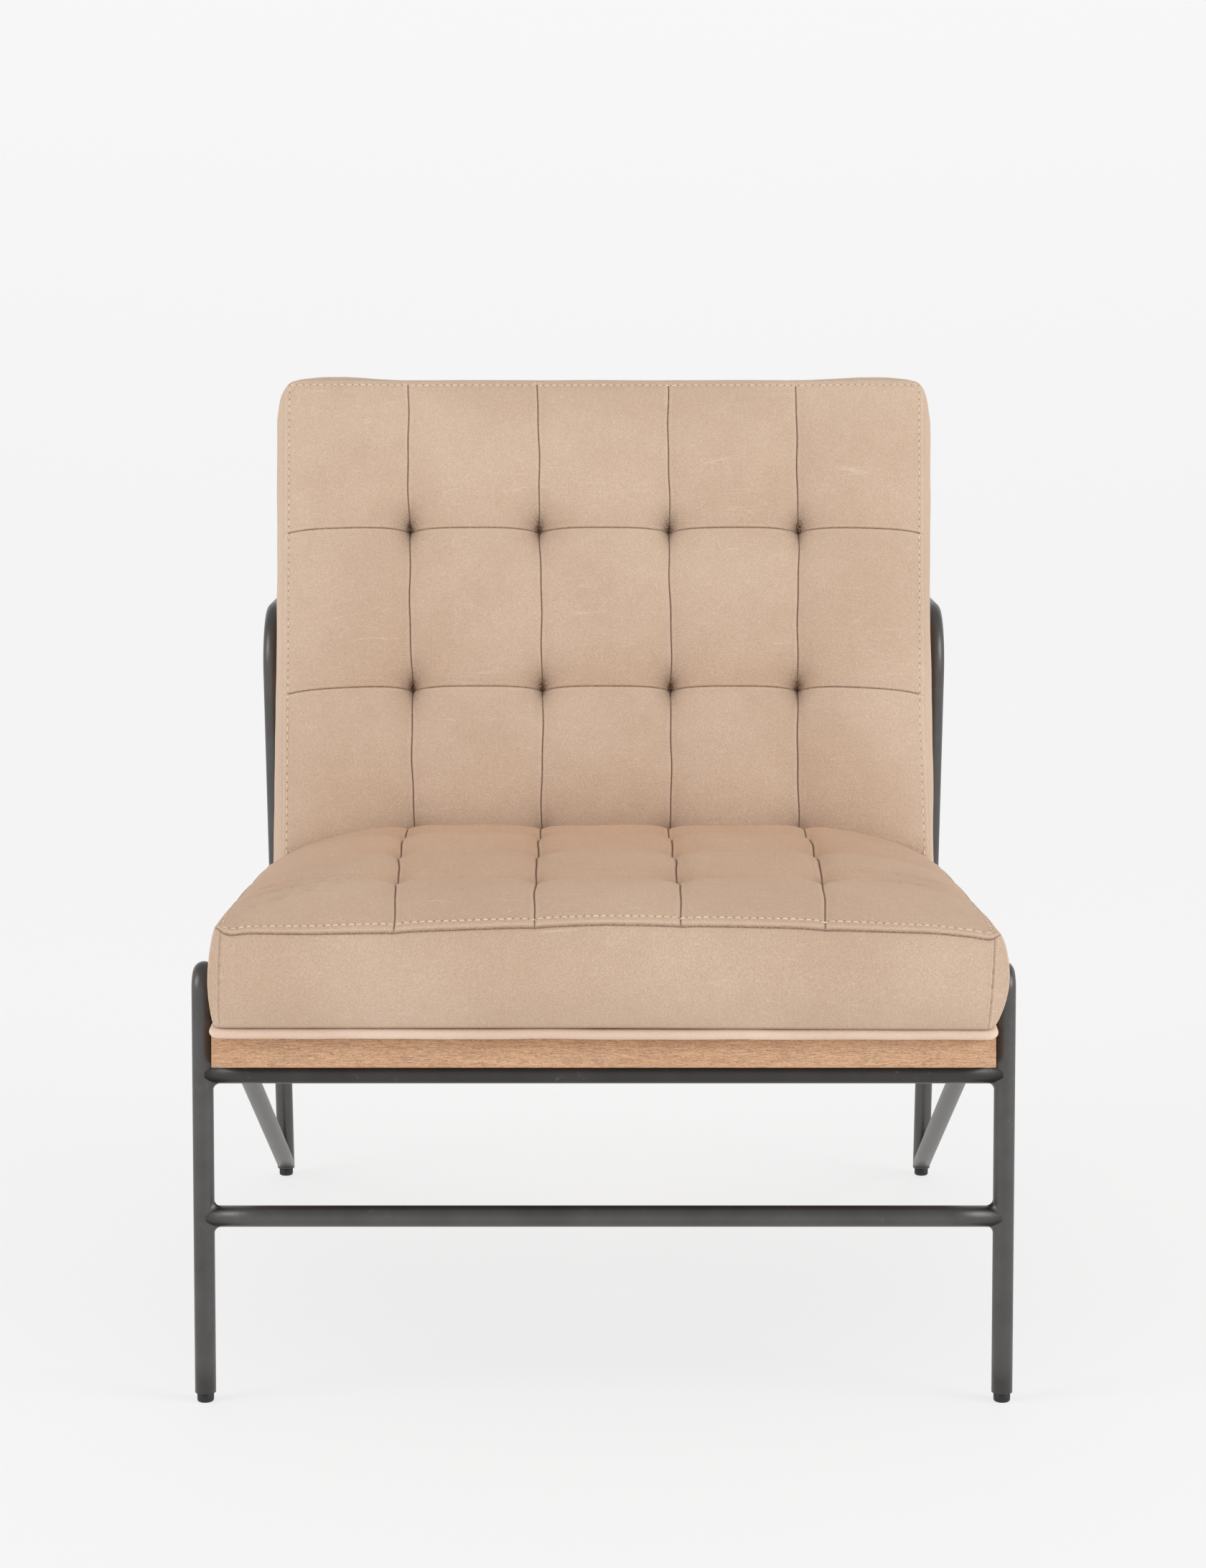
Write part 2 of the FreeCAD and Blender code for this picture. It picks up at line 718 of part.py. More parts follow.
def back_frame():
    """Timbers behind the back cushion, standing on the seat base, and the panel let into them."""
    half = back_frame_half
    inner = half - timber_w
    foot = base_top_at(base_h) - overrun
    foot_in = base_top_at(0) + timber_w
    top_in = back_frame_top - timber_w
    stile = timber(Vector(inner, foot, 0), Vector(half, back_frame_top, base_h))
    top = timber(Vector(-inner, top_in, 0), Vector(inner, back_frame_top, base_h))
    low = timber(Vector(-inner, foot, 0), Vector(inner, foot_in, base_h))
    reach = inner + tenon_l
    tenon_low = base_h - tenon_shoulder / 2 - tenon_t
    slack = Vector(joint_gap, joint_gap, joint_gap)
    tenons = []
    rooms = []
    for edge, depth in ((foot_in, -timber_w / 2), (top_in, timber_w - tenon_shoulder)):
        near, far = sorted((edge + math.copysign(tenon_shoulder, depth), edge + depth))
        corner = Vector(-reach, near, tenon_low)
        far_corner = Vector(reach, far, tenon_low + tenon_t)
        tenons.append(box_between(corner, far_corner))
        rooms.append(box_between(corner - slack, far_corner + slack))
    wide = inner + panel_rebate
    panel_low = Vector(-wide, foot_in - panel_rebate, 0)
    panel_high = Vector(wide, top_in + panel_rebate, panel_t)
    edge = Vector(panel_gap, panel_gap, 0)
    rebate = box_between(panel_low - Vector(0, 0, panel_t), panel_high)
    screws = both_sides([screw_hole(head, way) for head, way in plate_screws() + angle_back_screws()])
    room = over_base(0)
    stile = one_solid(stile.common(room).cut(rooms + screws + [rebate]))
    return {
        "back_stile_right": stile,
        "back_stile_left": mirrored(stile),
        "back_foot_board": one_solid(joined([low, tenons[0]]).common(room).cut(screws + [rebate])),
        "back_top_board": one_solid(joined([top, tenons[1]]).cut([rebate])),
        "back_panel": box_between(panel_low + edge, panel_high - edge),
    }


def angle_bracket():
    """A bent steel strap in the corner between the seat base's top and the back frame's rear face."""
    low_leg = box_between(
        Vector(angle_x - angle_w / 2, rear_face_length - angle_leg, base_h),
        Vector(angle_x + angle_w / 2, rear_face_length + angle_leg, base_h + angle_t),
    )
    high_leg = box_between(
        Vector(angle_x - angle_w / 2, 0, -angle_t),
        Vector(angle_x + angle_w / 2, base_top_at(0) + angle_leg, 0),
    )
    high_leg = placed(high_leg.common(over_base(0)), back_place)
    reach = leg_spacing
    behind = box_between(Vector(-reach, -reach, -reach), Vector(reach, reach, 0))
    low_leg = placed(low_leg, seat_place).common(placed(behind, back_place))
    whole = joined([low_leg, high_leg])
    tools = [placed(screw_clearance(head, way, angle_t), seat_place) for head, way in angle_base_screws()]
    tools += [placed(screw_clearance(head, way, angle_t), back_place) for head, way in angle_back_screws()]
    return one_solid(whole.cut(tools))


def back_bracket():
    """A plate screwed to the back frame's rear face, with a web coped on the rail behind it."""
    s = back_rail_local.y
    plate = box_between(
        Vector(plate_x - plate_w / 2, s - plate_h / 2, -plate_t),
        Vector(plate_x + plate_w / 2, s + plate_h / 2, 0),
    )
    upright = [edge for edge in plate.Edges if abs(edge.Length - plate_t) < joint_gap]
    plate = plate.makeChamfer(plate_t, upright)
    web = box_between(
        Vector(plate_x - web_t / 2, s - web_h / 2, back_rail_local.z),
        Vector(plate_x + web_t / 2, s + web_h / 2, -plate_t),
    )
    rail = rod(back_rail_local, back_rail_local + X_WAY * leg_x, tube_r + weld_gap)
    tools = [screw_clearance(head, way, plate_t) for head, way in plate_screws()]
    return one_solid(joined([plate, web.cut(rail)]).cut(tools))


def everything():
    """Every node of the chair by name, still placed from the front legs' axis."""
    leg_way = Rotation(X_WAY, 90 + rear_lean).multVec(Y_WAY)
    nodes = {}
    right = {
        "front_leg": front_leg(),
        "rear_leg": rear_leg(),
        "seat_bearer": placed(bearer(), seat_place),
        "back_bracket": placed(back_bracket(), back_place),
        "angle_bracket": angle_bracket(),
    }
    for name, shape in right.items():
        nodes[name + "_right"] = shape
        nodes[name + "_left"] = mirrored(shape)
    nodes["front_glides"] = group(both_sides([glide(0, Z_WAY)]))
    nodes["rear_glides"] = group(both_sides([glide(brace_run, leg_way)]))
    nodes["top_plugs"] = group(both_sides([top_plug()]))
    nodes["front_rail"] = cross_tube(Vector(0, 0, front_rail_z), Z_WAY)
    nodes["front_stretcher"] = cross_tube(Vector(0, 0, stretcher_z), Z_WAY)
    nodes["rear_rail"] = cross_tube(rear_rail_centre, leg_way)
    nodes["back_rail"] = cross_tube(Vector(0, back_rail_y, top_corner_z), Y_WAY)

    seat = base_frame()
    seat["base_corner_blocks"] = group(corner_blocks())
    seat["seat_dust_cloth"] = dust_cloth()
    seat_board = plywood(-seat_board_front, seat_rear_foot - welt_out * 2, base_h, board_top_h)
    seat.update(upholstery("seat", seat_cushion, seat_board))
    seat["seat_welt"] = seat_welt()
    seat["base_screws"] = group(both_sides([screw(head, way) for head, way in base_screws()]))
    nodes.update({name: placed(shape, seat_place) for name, shape in seat.items()})

    back = back_frame()
    back_board = plywood(0, back_board_top, base_h, board_top_h)
    back_board = back_board.common(over_base(rest_gap + leather_t + foam_gap))
    back.update(upholstery("back", back_cushion, back_board))
    back["back_welt"] = back_welt().common(over_base(rest_gap))
    back["plate_screws"] = group(both_sides([screw(head, way) for head, way in plate_screws()]))
    nodes.update({name: placed(shape, back_place) for name, shape in back.items()})

    low = [placed(screw(head, way), seat_place) for head, way in angle_base_screws()]
    high = [placed(screw(head, way), back_place) for head, way in angle_back_screws()]
    nodes["angle_screws"] = group(both_sides(low + high))
    return nodes


def y_range(shapes):
    """How far to the front and the rear a set of shapes reaches."""
    boxes = [shape.optimalBoundingBox(False, False) for shape in shapes]
    return min(box.YMin for box in boxes), max(box.YMax for box in boxes)


nodes = everything()
front_y, rear_y = y_range(nodes.values())
middle = Vector(0, -(front_y + rear_y) / 2, 0)
for name, shape in nodes.items():
    shape.translate(middle)
    if not shape.isValid():
        raise ValueError(name + " is not a valid shape")
    shape.exportStep(f"parts/{name}.step")
solids = sum(len(shape.Solids) for shape in nodes.values())
print(f"{len(nodes)} nodes, {solids} solids, moved {middle.y:.3f}")
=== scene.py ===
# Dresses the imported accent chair: nubuck cushions with blind tufts, an oak base, a bare steel frame.
# Metres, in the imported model's frame: X across the chair, -Y its front, Z up from the floor.

import math

import bpy
import numpy as np
from mathutils import Matrix, Vector, noise


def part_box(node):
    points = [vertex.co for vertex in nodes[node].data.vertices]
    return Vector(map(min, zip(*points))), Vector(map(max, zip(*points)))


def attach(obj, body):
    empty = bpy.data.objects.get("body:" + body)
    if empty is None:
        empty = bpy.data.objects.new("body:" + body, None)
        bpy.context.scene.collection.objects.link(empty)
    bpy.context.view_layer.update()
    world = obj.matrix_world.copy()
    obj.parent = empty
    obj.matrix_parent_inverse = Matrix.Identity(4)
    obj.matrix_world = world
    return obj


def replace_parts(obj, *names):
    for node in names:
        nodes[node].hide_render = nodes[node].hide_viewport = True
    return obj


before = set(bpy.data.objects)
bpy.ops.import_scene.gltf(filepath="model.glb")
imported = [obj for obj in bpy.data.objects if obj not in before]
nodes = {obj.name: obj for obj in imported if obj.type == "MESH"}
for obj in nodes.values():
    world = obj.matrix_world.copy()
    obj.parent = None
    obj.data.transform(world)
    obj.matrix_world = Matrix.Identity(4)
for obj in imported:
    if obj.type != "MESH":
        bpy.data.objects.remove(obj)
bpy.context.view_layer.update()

scene = bpy.context.scene


def middle_of(name):
    """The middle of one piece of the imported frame."""
    low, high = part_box(name)
    return (low + high) / 2


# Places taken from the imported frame
leg_low, leg_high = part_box("front_leg_right")
rail_low, rail_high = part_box("front_rail")
rear_leg_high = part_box("rear_leg_right")[1]
rear_rail = middle_of("rear_rail")
back_rail = middle_of("back_rail")
tube_r = (rail_high.z - rail_low.z) / 2
leg_x = leg_high.x - tube_r
front_y = leg_low.y + tube_r
leg_bottom_z = leg_low.z
rail_z = rail_high.z - tube_r
stretcher_z = middle_of("front_stretcher").z
top_corner_z = rear_leg_high.z - tube_r

# The steel frame's angles and bends; the front corner is where the axes of leg and brace would meet
rear_lean = math.radians(12)
seat_tilt = math.radians(4)
recline = math.radians(14)
front_bend_r = 0.012
top_bend_r = 0.048
tube_sides = 48
bore_share = 0.8
weld_reach = 0.0062
brace_end_z = leg_bottom_z + 0.004
rear_foot_y = rear_rail.y - (leg_bottom_z - rear_rail.z) * math.tan(rear_lean)
front_turn = math.pi / 2 + math.atan2(leg_high.z - brace_end_z, rear_foot_y - front_y)
front_corner_z = leg_high.z - tube_r + front_bend_r * (math.tan(front_turn / 2) - 1)

# Make-up of each cushion: heights from the far side of its timber, and its foot's plan
base_h = 0.028
board_top_h = 0.0403
foot_h = 0.03665
seam_h = 0.1195
boxing_h = 0.083
corner_r = 0.008
foot_half = 0.3184

# Topstitching; the boxing's corner seams start from the row of the face's points just outside it
stitch_inset = 0.0056
stitch_length = 0.005
corner_seam_inset = stitch_inset - 0.0012

# Welts
welt_r = 0.0044
welt_sides = 24
welt_half = 0.3182
welt_h = base_h + welt_r
seat_welt_front = -0.039
seat_welt_rear = 0.4046
back_welt_foot = 0.0165
back_welt_top = 0.5574

# The cushions' own frames: the seat's starts over the front rail, the back's stands on the timber base
back_foot = 0.423
seat_turn = Matrix.Rotation(-seat_tilt, 4, "X")
seat_origin = Vector((0, front_y, rail_z)) + seat_turn @ Vector((0, 0, tube_r))
seat_place = Matrix.Translation(seat_origin) @ seat_turn
back_turn = Matrix.Rotation(math.pi / 2 - recline, 4, "X")
back_origin = seat_place @ Vector((0, back_foot, base_h)) - back_turn @ Vector((0, 0, seam_h))
back_place = Matrix.Translation(back_origin) @ back_turn


class Value:
    """An output of a finish's nodes, so that shader maths reads as sums of values."""

    def __init__(self, finish, socket):
        self.finish = finish
        self.socket = socket

    def maths(self, operation, *others):
        sockets = dict(enumerate((self, *others)))
        return self.finish.node("ShaderNodeMath", {"operation": operation}, sockets)

    def __add__(self, other):
        return self.maths("ADD", other)

    def __mul__(self, other):
        return self.maths("MULTIPLY", other)

    def __sub__(self, other):
        return self.maths("SUBTRACT", other)

    def __rsub__(self, other):
        return self.finish.node("ShaderNodeMath", {"operation": "SUBTRACT"}, {0: other, 1: self})

    def distance(self, other):
        return (self - other).maths("ABSOLUTE")

    def step(self, low, high):
        """0 under low and 1 over high, and smooth between; the other way round if low is the higher."""
        sockets = {"Value": self, "From Min": low, "From Max": high}
        return self.finish.node("ShaderNodeMapRange", {"interpolation_type": "SMOOTHSTEP"}, sockets)


class Finish:
    """A procedural material, built node by node, or the sky's shading if a world is given."""

    def __init__(self, name, sky=None):
        self.material = sky or bpy.data.materials.new(name)
        self.material.use_nodes = True
        self.tree = self.material.node_tree
        self.tree.nodes.clear()
        self.place = self.node("ShaderNodeTexCoord", {}, {}, "Generated" if sky else "Object")

    def node(self, kind, settings, sockets, output=0):
        """Adds a node: its settings first, then the values or links of its sockets."""
        made = self.tree.nodes.new(kind)
        for key, setting in settings.items():
            setattr(made, key, setting)
        for key, value in sockets.items():
            if isinstance(value, Value):
                self.tree.links.new(value.socket, made.inputs[key])
            else:
                made.inputs[key].default_value = value
        return Value(self, made.outputs[output])

    def mix(self, share, first, second):
        """A colour between two others, each from a node or as a screen shows it."""
        first, second = [tone(*c) if isinstance(c, tuple) else c for c in (first, second)]
        return self.node("ShaderNodeMix", {"data_type": "RGBA"}, {0: share, 6: first, 7: second}, 2)

    def scaled(self, sizes, turn=(0, 0, 0)):
        """The object's coordinates, turned and then scaled along each way."""
        sockets = {"Vector": self.place, "Rotation": turn, "Scale": sizes}
        return self.node("ShaderNodeMapping", {}, sockets)

    def noise(self, scale, detail=2.0, roughness=0.5, place=None, distortion=0.0):
        sockets = {"Vector": place or self.place, "Scale": scale, "Detail": detail}
        sockets |= {"Roughness": roughness, "Distortion": distortion}
        return self.node("ShaderNodeTexNoise", {}, sockets)

    def grain(self, way, along, across, detail, roughness, distortion=0.0):
        """Noise with one scale along the grain's way and another across it."""
        place = self.scaled([along if way == axis else across for axis in "XYZ"])
        return self.noise(1.0, detail, roughness, place, distortion)

    def wave(self, way, scale, distortion):
        """Even bands, as threads lie side by side."""
        sockets = {"Vector": self.place, "Scale": scale, "Distortion": distortion}
        return self.node("ShaderNodeTexWave", {"bands_direction": way}, sockets)

    def mark(self, name):
        """A value that the mesh carries at each of its points."""
        return self.node("ShaderNodeAttribute", {"attribute_name": name}, {}, "Fac")

    def bump(self, height, distance, strength, **normal):
        sockets = {"Height": height, "Distance": distance, "Strength": strength, **normal}
        return self.node("ShaderNodeBump", {}, sockets)

    def surface(self, **sockets):
        """Ends the finish in one principled shader, its sockets named with underscores for spaces."""
        named = {key.replace("_", " "): value for key, value in sockets.items()}
        return self.end(self.node("ShaderNodeBsdfPrincipled", {}, named), "ShaderNodeOutputMaterial")

    def end(self, shader, kind):
        out = self.tree.nodes.new(kind)
        self.tree.links.new(shader.socket, out.inputs["Surface"])
        return self.material


def tone(red, green, blue):
    """A colour as a screen shows it, 0 to 255, turned into the linear colour that shaders take."""
    shares = [value / 255 for value in (red, green, blue)]
    return tuple(((s + 0.055) / 1.055) ** 2.4 if s > 0.04 else s / 12.92 for s in shares) + (1,)


def nubuck(name, light, dark, scratched=True, grain=1.0):
    """Waxed nubuck: soft mottling, a fine pebbled nap, pale scuffs, dirt and painted shade at seams and
    tufts, and painted highlights beside the seams.
    """
    skin = Finish(name)
    patches = skin.noise(7.0)
    clouds = skin.noise(48.0, 4.0, 0.62)
    nap = skin.noise(1500.0, 2.0, 0.7)
    pores = skin.noise(700.0, 3.0, 0.65)
    rubs = skin.noise(130.0, 4.0, 0.7, distortion=1.2)
    blend = (patches * 0.9 + clouds * 0.3).step(0.42, 0.8)
    colour = skin.mix(blend, dark, light)
    # Tan, partly painted shade: on the seat's face it deepens towards the rear, under the back
    colour = skin.mix(skin.mark("tan") * 0.6, colour, (210, 142, 88))
    colour = skin.mix(rubs.step(0.56, 0.72) * 0.16, colour, (242, 220, 196))
    colour = skin.mix(nap.step(0.42, 0.66) * (0.46 * grain), colour, (246, 224, 200))
    colour = skin.mix(pores.step(0.68, 0.32) * (0.38 * grain), colour, (182, 146, 118))
    # Painted highlight along the folded leather beside the seams
    colour = skin.mix(skin.mark("seam_highlight") * 0.28, colour, (250, 230, 208))
    scratches = ((0.7, 2.0), (-0.5, 9.0), (1.5, 4.0), (0.1, 6.0)) if scratched else ()
    for turn, seed in scratches:
        along = skin.scaled((9.0, 130.0, 130.0), (seed, 0.3 * seed, turn))
        line = skin.noise(1.0, 0.0, 0.5, along).distance(0.5).step(0.011, 0.0)
        where = skin.noise(14.0, 1.0, 0.4, skin.scaled((1, 1, 1), (seed, turn, 0))).step(0.6, 0.68)
        colour = skin.mix(line * where * 0.26, colour, (248, 232, 212))
    # Dirt and painted shade along the seams, in the tufts' pits and at the boxing's edges
    ticks = skin.noise(620.0, 0.0).step(0.36, 0.56)
    soil_and_shade = skin.mark("soil_and_shade") * (ticks * 0.34 + 0.7)
    colour = skin.mix(soil_and_shade, colour, (88, 60, 43))
    pebbles = skin.bump(nap * 0.4 + pores.step(0.25, 0.75), 0.00045, 0.8 * grain)
    creases = skin.noise(120.0, 5.0, 0.6, distortion=1.2)
    return skin.surface(
        Base_Color=colour,
        Roughness=blend * 0.1 + 0.56,
        Normal=skin.bump(creases, 0.0012, 0.35, Normal=pebbles),
        Specular_IOR_Level=0.28,
        Sheen_Weight=0.22,
        Sheen_Roughness=0.55,
        Sheen_Tint=tone(255, 236, 214),
    )


def bare_steel(name, dark, light):
    """Blackened steel under clear lacquer, with faint drawing marks and rubbed spots."""
    metal = Finish(name)
    cloud = metal.noise(22.0, 4.0, 0.6)
    fine = metal.noise(420.0, 3.0, 0.7)
    rubbed = metal.noise(70.0, 5.0, 0.7, distortion=0.6).step(0.6, 0.78)
    colour = metal.mix(cloud, dark, light)
    colour = metal.mix(rubbed * 0.35, colour, (134, 130, 126))
    colour = metal.mix(fine.step(0.62, 0.8) * 0.4, colour, (52, 50, 50))
    return metal.surface(
        Base_Color=colour,
        Metallic=0.85,
        Roughness=cloud * 0.14 + 0.36,
        Normal=metal.bump(fine, 0.00012, 0.5),
        Coat_Weight=0.15,
        Coat_Roughness=0.3,
    )


def oak(name, way):
    """Open-grained light wood, its pores and figure running along the given way."""
    wood = Finish(name)
    figure = wood.grain(way, 2.4, 48.0, 5.0, 0.62, 1.4)
    pores = wood.grain(way, 130.0, 1700.0, 2.0, 0.65, 1.2)
    veins = wood.grain(way, 26.0, 560.0, 3.0, 0.65, 2.4).distance(0.5).step(0.022, 0.0)
    flecks = wood.grain(way, 500.0, 1500.0, 2.0, 0.7)
    worn = veins * (wood.noise(9.0, 2.0, 0.6).step(0.35, 0.65) * 0.6 + 0.3)
    cloud = wood.noise(16.0, 3.0)
    colour = wood.mix(figure.step(0.3, 0.7), (230, 184, 146), (214, 166, 126))
    colour = wood.mix(cloud.step(0.45, 0.7) * 0.35, colour, (230, 190, 154))
    colour = wood.mix(flecks.step(0.54, 0.36) * 0.34, colour, (170, 126, 94))
    colour = wood.mix(flecks.step(0.5, 0.68) * 0.3, colour, (246, 212, 176))
    colour = wood.mix(pores.step(0.46, 0.34) * 0.5, colour, (146, 106, 78))
    colour = wood.mix(worn * 0.55, colour, (116, 82, 58))
    return wood.surface(
        Base_Color=colour,
        Roughness=pores * 0.15 + 0.55,
        Normal=wood.bump(pores.step(0.33, 0.46) - worn, 0.0005, 0.6),
    )


def plain_board(name, light, dark, way="X"):
    """Rough softwood or ply for the hidden boards."""
    wood = Finish(name)
    figure = wood.grain(way, 5.0, 90.0, 4.0, 0.6, 1.5)
    speck = wood.noise(300.0, 3.0, 0.6)
    return wood.surface(
        Base_Color=wood.mix(figure.step(0.3, 0.7), light, dark),
        Roughness=speck * 0.2 + 0.6,
        Normal=wood.bump(figure + speck * 0.4, 0.0004, 0.5),
    )


def moulded_plastic():
    """Black moulded nylon with a fine spark-eroded grain."""
    plastic = Finish("black_nylon")
    grain = plastic.noise(900.0, 2.0, 0.6)
    scuff = plastic.noise(60.0, 4.0, 0.7).step(0.6, 0.75)
    return plastic.surface(
        Base_Color=plastic.mix(scuff * 0.5, (26, 26, 27), (52, 51, 50)),
        Roughness=grain * 0.2 + 0.42,
        Normal=plastic.bump(grain, 0.0001, 0.4),
    )


def plated_steel():
    """Dull zinc plating for the screws and the corner brackets."""
    metal = Finish("zinc_plate")
    spangle = metal.noise(160.0, 3.0, 0.6)
    haze = metal.noise(30.0, 3.0)
    colour = metal.mix(spangle.step(0.3, 0.7), (150, 150, 148), (186, 186, 182))
    return metal.surface(
        Base_Color=metal.mix(haze.step(0.5, 0.8) * 0.4, colour, (120, 116, 108)),
        Metallic=1.0,
        Roughness=spangle * 0.2 + 0.35,
        Normal=metal.bump(spangle, 0.0001, 0.4),
    )


def woven(name, light, dark, threads):
    """Plain-woven cloth or tape; the higher the number, the finer its threads."""
    cloth = Finish(name)
    warp, weft = [cloth.wave(way, threads, 0.6) for way in "XY"]
    raised = warp * 0.5 + weft * 0.5
    lint = cloth.noise(260.0, 3.0, 0.6)
    return cloth.surface(
        Base_Color=cloth.mix(raised * 0.6 + lint * 0.4, dark, light),
        Roughness=lint * 0.1 + 0.85,
        Normal=cloth.bump(raised, 0.0003, 0.7),
    )


def waxed_thread():
    """Waxed sewing thread, with its twist."""
    thread = Finish("cream_thread")
    twist = thread.wave("DIAGONAL", 900.0, 1.0)
    wear = thread.noise(120.0)
    return thread.surface(
        Base_Color=thread.mix(wear.step(0.35, 0.7), (232, 212, 182), (250, 236, 212)),
        Roughness=twist * 0.1 + 0.6,
        Normal=thread.bump(twist, 0.0001, 0.6),
    )


def needle_holes():
    """Painted shade for the holes between the stitches: dark discs laid on the leather."""
    hole = Finish("needle_hole_shade")
    lint = hole.noise(900.0)
    return hole.surface(
        Base_Color=hole.mix(lint, (128, 98, 76), (150, 118, 94)),
        Roughness=lint * 0.1 + 0.85,
        Normal=hole.bump(lint, 0.0001, 0.3),
    )


leather = nubuck("tan_nubuck", (224, 197, 174), (211, 181, 157))
# The piping's nubuck is a lighter copy of the face's: painted highlight on the rounded cord
welt_leather = nubuck("welt_nubuck_painted_highlight", (240, 215, 195), (229, 201, 180), scratched=False, grain=0.35)
steel = bare_steel("blackened_steel", (75, 73, 72), (105, 103, 101))
# A darker copy of the frame's steel for the front rail: painted shade under the seat's overhang
rail_shaded_steel = bare_steel("steel_painted_shade", (54, 52, 51), (80, 78, 77))
front_wood = oak("oak_across", "X")
side_wood = oak("oak_front_to_back", "Y")
upright_wood = oak("oak_upright", "Z")
hidden_wood = plain_board("plain_softwood", (214, 182, 140), (184, 148, 106))
ply = plain_board("birch_ply", (216, 190, 152), (194, 162, 122), "Y")
plastic = moulded_plastic()
zinc = plated_steel()
bottom_cloth = woven("bottoming_cloth", (62, 60, 58), (34, 33, 33), 220.0)
webbing = woven("tuft_tape", (206, 200, 188), (160, 154, 142), 420.0)
thread = waxed_thread()
needle_hole_shade = needle_holes()


def smooth_object(name, points, faces, finish):
    """A smooth-shaded object from points and faces, in one finish."""
    mesh = bpy.data.meshes.new(name)
    mesh.from_pydata([tuple(p) for p in points], [], faces)
    mesh.validate()
    mesh.polygons.foreach_set("use_smooth", [True] * len(mesh.polygons))
    mesh.materials.append(finish)
    made = bpy.data.objects.new(name, mesh)
    scene.collection.objects.link(made)
    return made


def mesh_piece(name, points, faces, finish, slot, marks=None):
    """A new piece that rides on the chair, with any values that its points carry."""
    piece = smooth_object(name, points, faces, finish)
    for key, values in (marks or {}).items():
        piece.data.attributes.new(key, "FLOAT", "POINT").data.foreach_set("value", values)
    piece.data.update()
    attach(piece, "root")
    return piece


def ring(centre, across, up, sides):
    """Points round a centre, from one half axis towards the other."""
    angles = [math.tau * j / sides for j in range(sides)]
    return [centre + across * math.cos(angle) + up * math.sin(angle) for angle in angles]


def quads(count, sides, closed=False, first=0):
    """Quads between rings of points that follow each other."""
    faces = []
    for i in range(count if closed else count - 1):
        a, b = first + i * sides, first + (i + 1) % count * sides
        for j in range(sides):
            k = (j + 1) % sides
            faces.append((a + j, a + k, b + k, b + j))
    return faces


def caps(count, sides, first=0):
    """The faces that close the first and the last of some rings."""
    last = first + (count - 1) * sides
    return [tuple(range(first + sides - 1, first - 1, -1)), tuple(range(last, last + sides))]


def rounded_path(corners, bend_r, closed=False):
    """The corners joined by straight runs and arcs, as points close enough to look smooth."""
    count = len(corners)
    path = []
    for i, corner in enumerate(corners):
        if not closed and i in (0, count - 1):
            path.append(corner)
            continue
        way_in = (corner - corners[i - 1]).normalized()
        way_out = (corners[(i + 1) % count] - corner).normalized()
        turn = way_in.angle(way_out)
        hub = corner + (way_out - way_in).normalized() * (bend_r / math.cos(turn / 2))
        start = corner - way_in * bend_r * math.tan(turn / 2) - hub
        axis = way_in.cross(way_out)
        steps = max(4, round(math.degrees(turn) / 5))
        path += [hub + Matrix.Rotation(turn * s / steps, 3, axis) @ start for s in range(steps + 1)]
    return path


def with_runs(path, longest, closed=False):
    """The same path with its long runs divided."""
    out = []
    for a, b in zip(path, path[1:] + (path[:1] if closed else [])):
        parts = max(1, math.ceil((b - a).length / longest))
        out += [a.lerp(b, i / parts) for i in range(parts)]
    return out if closed else out + [path[-1]]


def swept(path, radius, sides, closed=False):
    """Rings of points round a path, kept from twisting, and the faces between them."""
    points = []
    count = len(path)
    across = None
    for i, centre in enumerate(path):
        ahead = path[(i + 1) % count] if closed or i < count - 1 else centre
        behind = path[i - 1] if closed or i else centre
        way = (ahead - behind).normalized()
        if across is None:
            across = way.orthogonal().normalized()
        across = (across - way * across.dot(way)).normalized()
        points += ring(centre, across * radius, way.cross(across) * radius, sides)
    return points, quads(count, sides, closed)


def fade(distance, reach, power=2):
    """1 at no distance, falling smoothly to 0 beyond the reach."""
    return np.exp(-((distance / reach) ** power))


def ramp(value, span):
    """The value's share of a span, held between 0 and 1."""
    return np.clip(value / span, 0, 1)


def rounded(share):
    """0 at both ends and 1 in the middle, as a bulging side is."""
    return math.sin(math.pi * share) ** 0.8


def between(share, start, end):
    return start * (1 - share) + end * share


def dome(share, flatness):
    """0 at both ends of a panel and 1 in its middle; the higher the number, the flatter its top."""
    return 1 - np.abs(2 * share - 1) ** flatness


def eased(stops, place, softness=2):
    """A value read from a few stops, eased between them."""
    xs, ys = zip(*stops)
    fine = np.linspace(xs[0], xs[-1], 400)
    width = 400 * softness // (len(stops) * 4) | 1
    padded = np.pad(np.interp(fine, xs, ys), width // 2, mode="reflect", reflect_type="odd")
    return np.interp(place, fine, np.convolve(padded, np.ones(width) / width, "valid"))


def smooth_noise(points, scale, seed):
    """Soft noise between about -1 and 1 for each point."""
    shift = Vector((seed * 7.3, seed * 3.1, seed * 1.7))
    return np.array([noise.noise(Vector(p) * scale + shift) for p in points])


def spots(width, steps, at_low, at_high):
    """Shares across a panel, close together at its seams, and at the stitching by the face's edges."""
    even = np.linspace(0, 1, steps + 1)
    places = list(width * (0.7 * (0.5 - 0.5 * np.cos(math.pi * even)) + 0.3 * even))
    seam = (0.0003, 0.0007, 0.0013, 0.0023)
    line = tuple(stitch_inset + step for step in (-0.0012, -0.0005, 0, 0.0005, 0.0012))
    places += seam + line * at_low
    places += [width - step for step in seam + line * at_high]
    return np.sort(places) / width


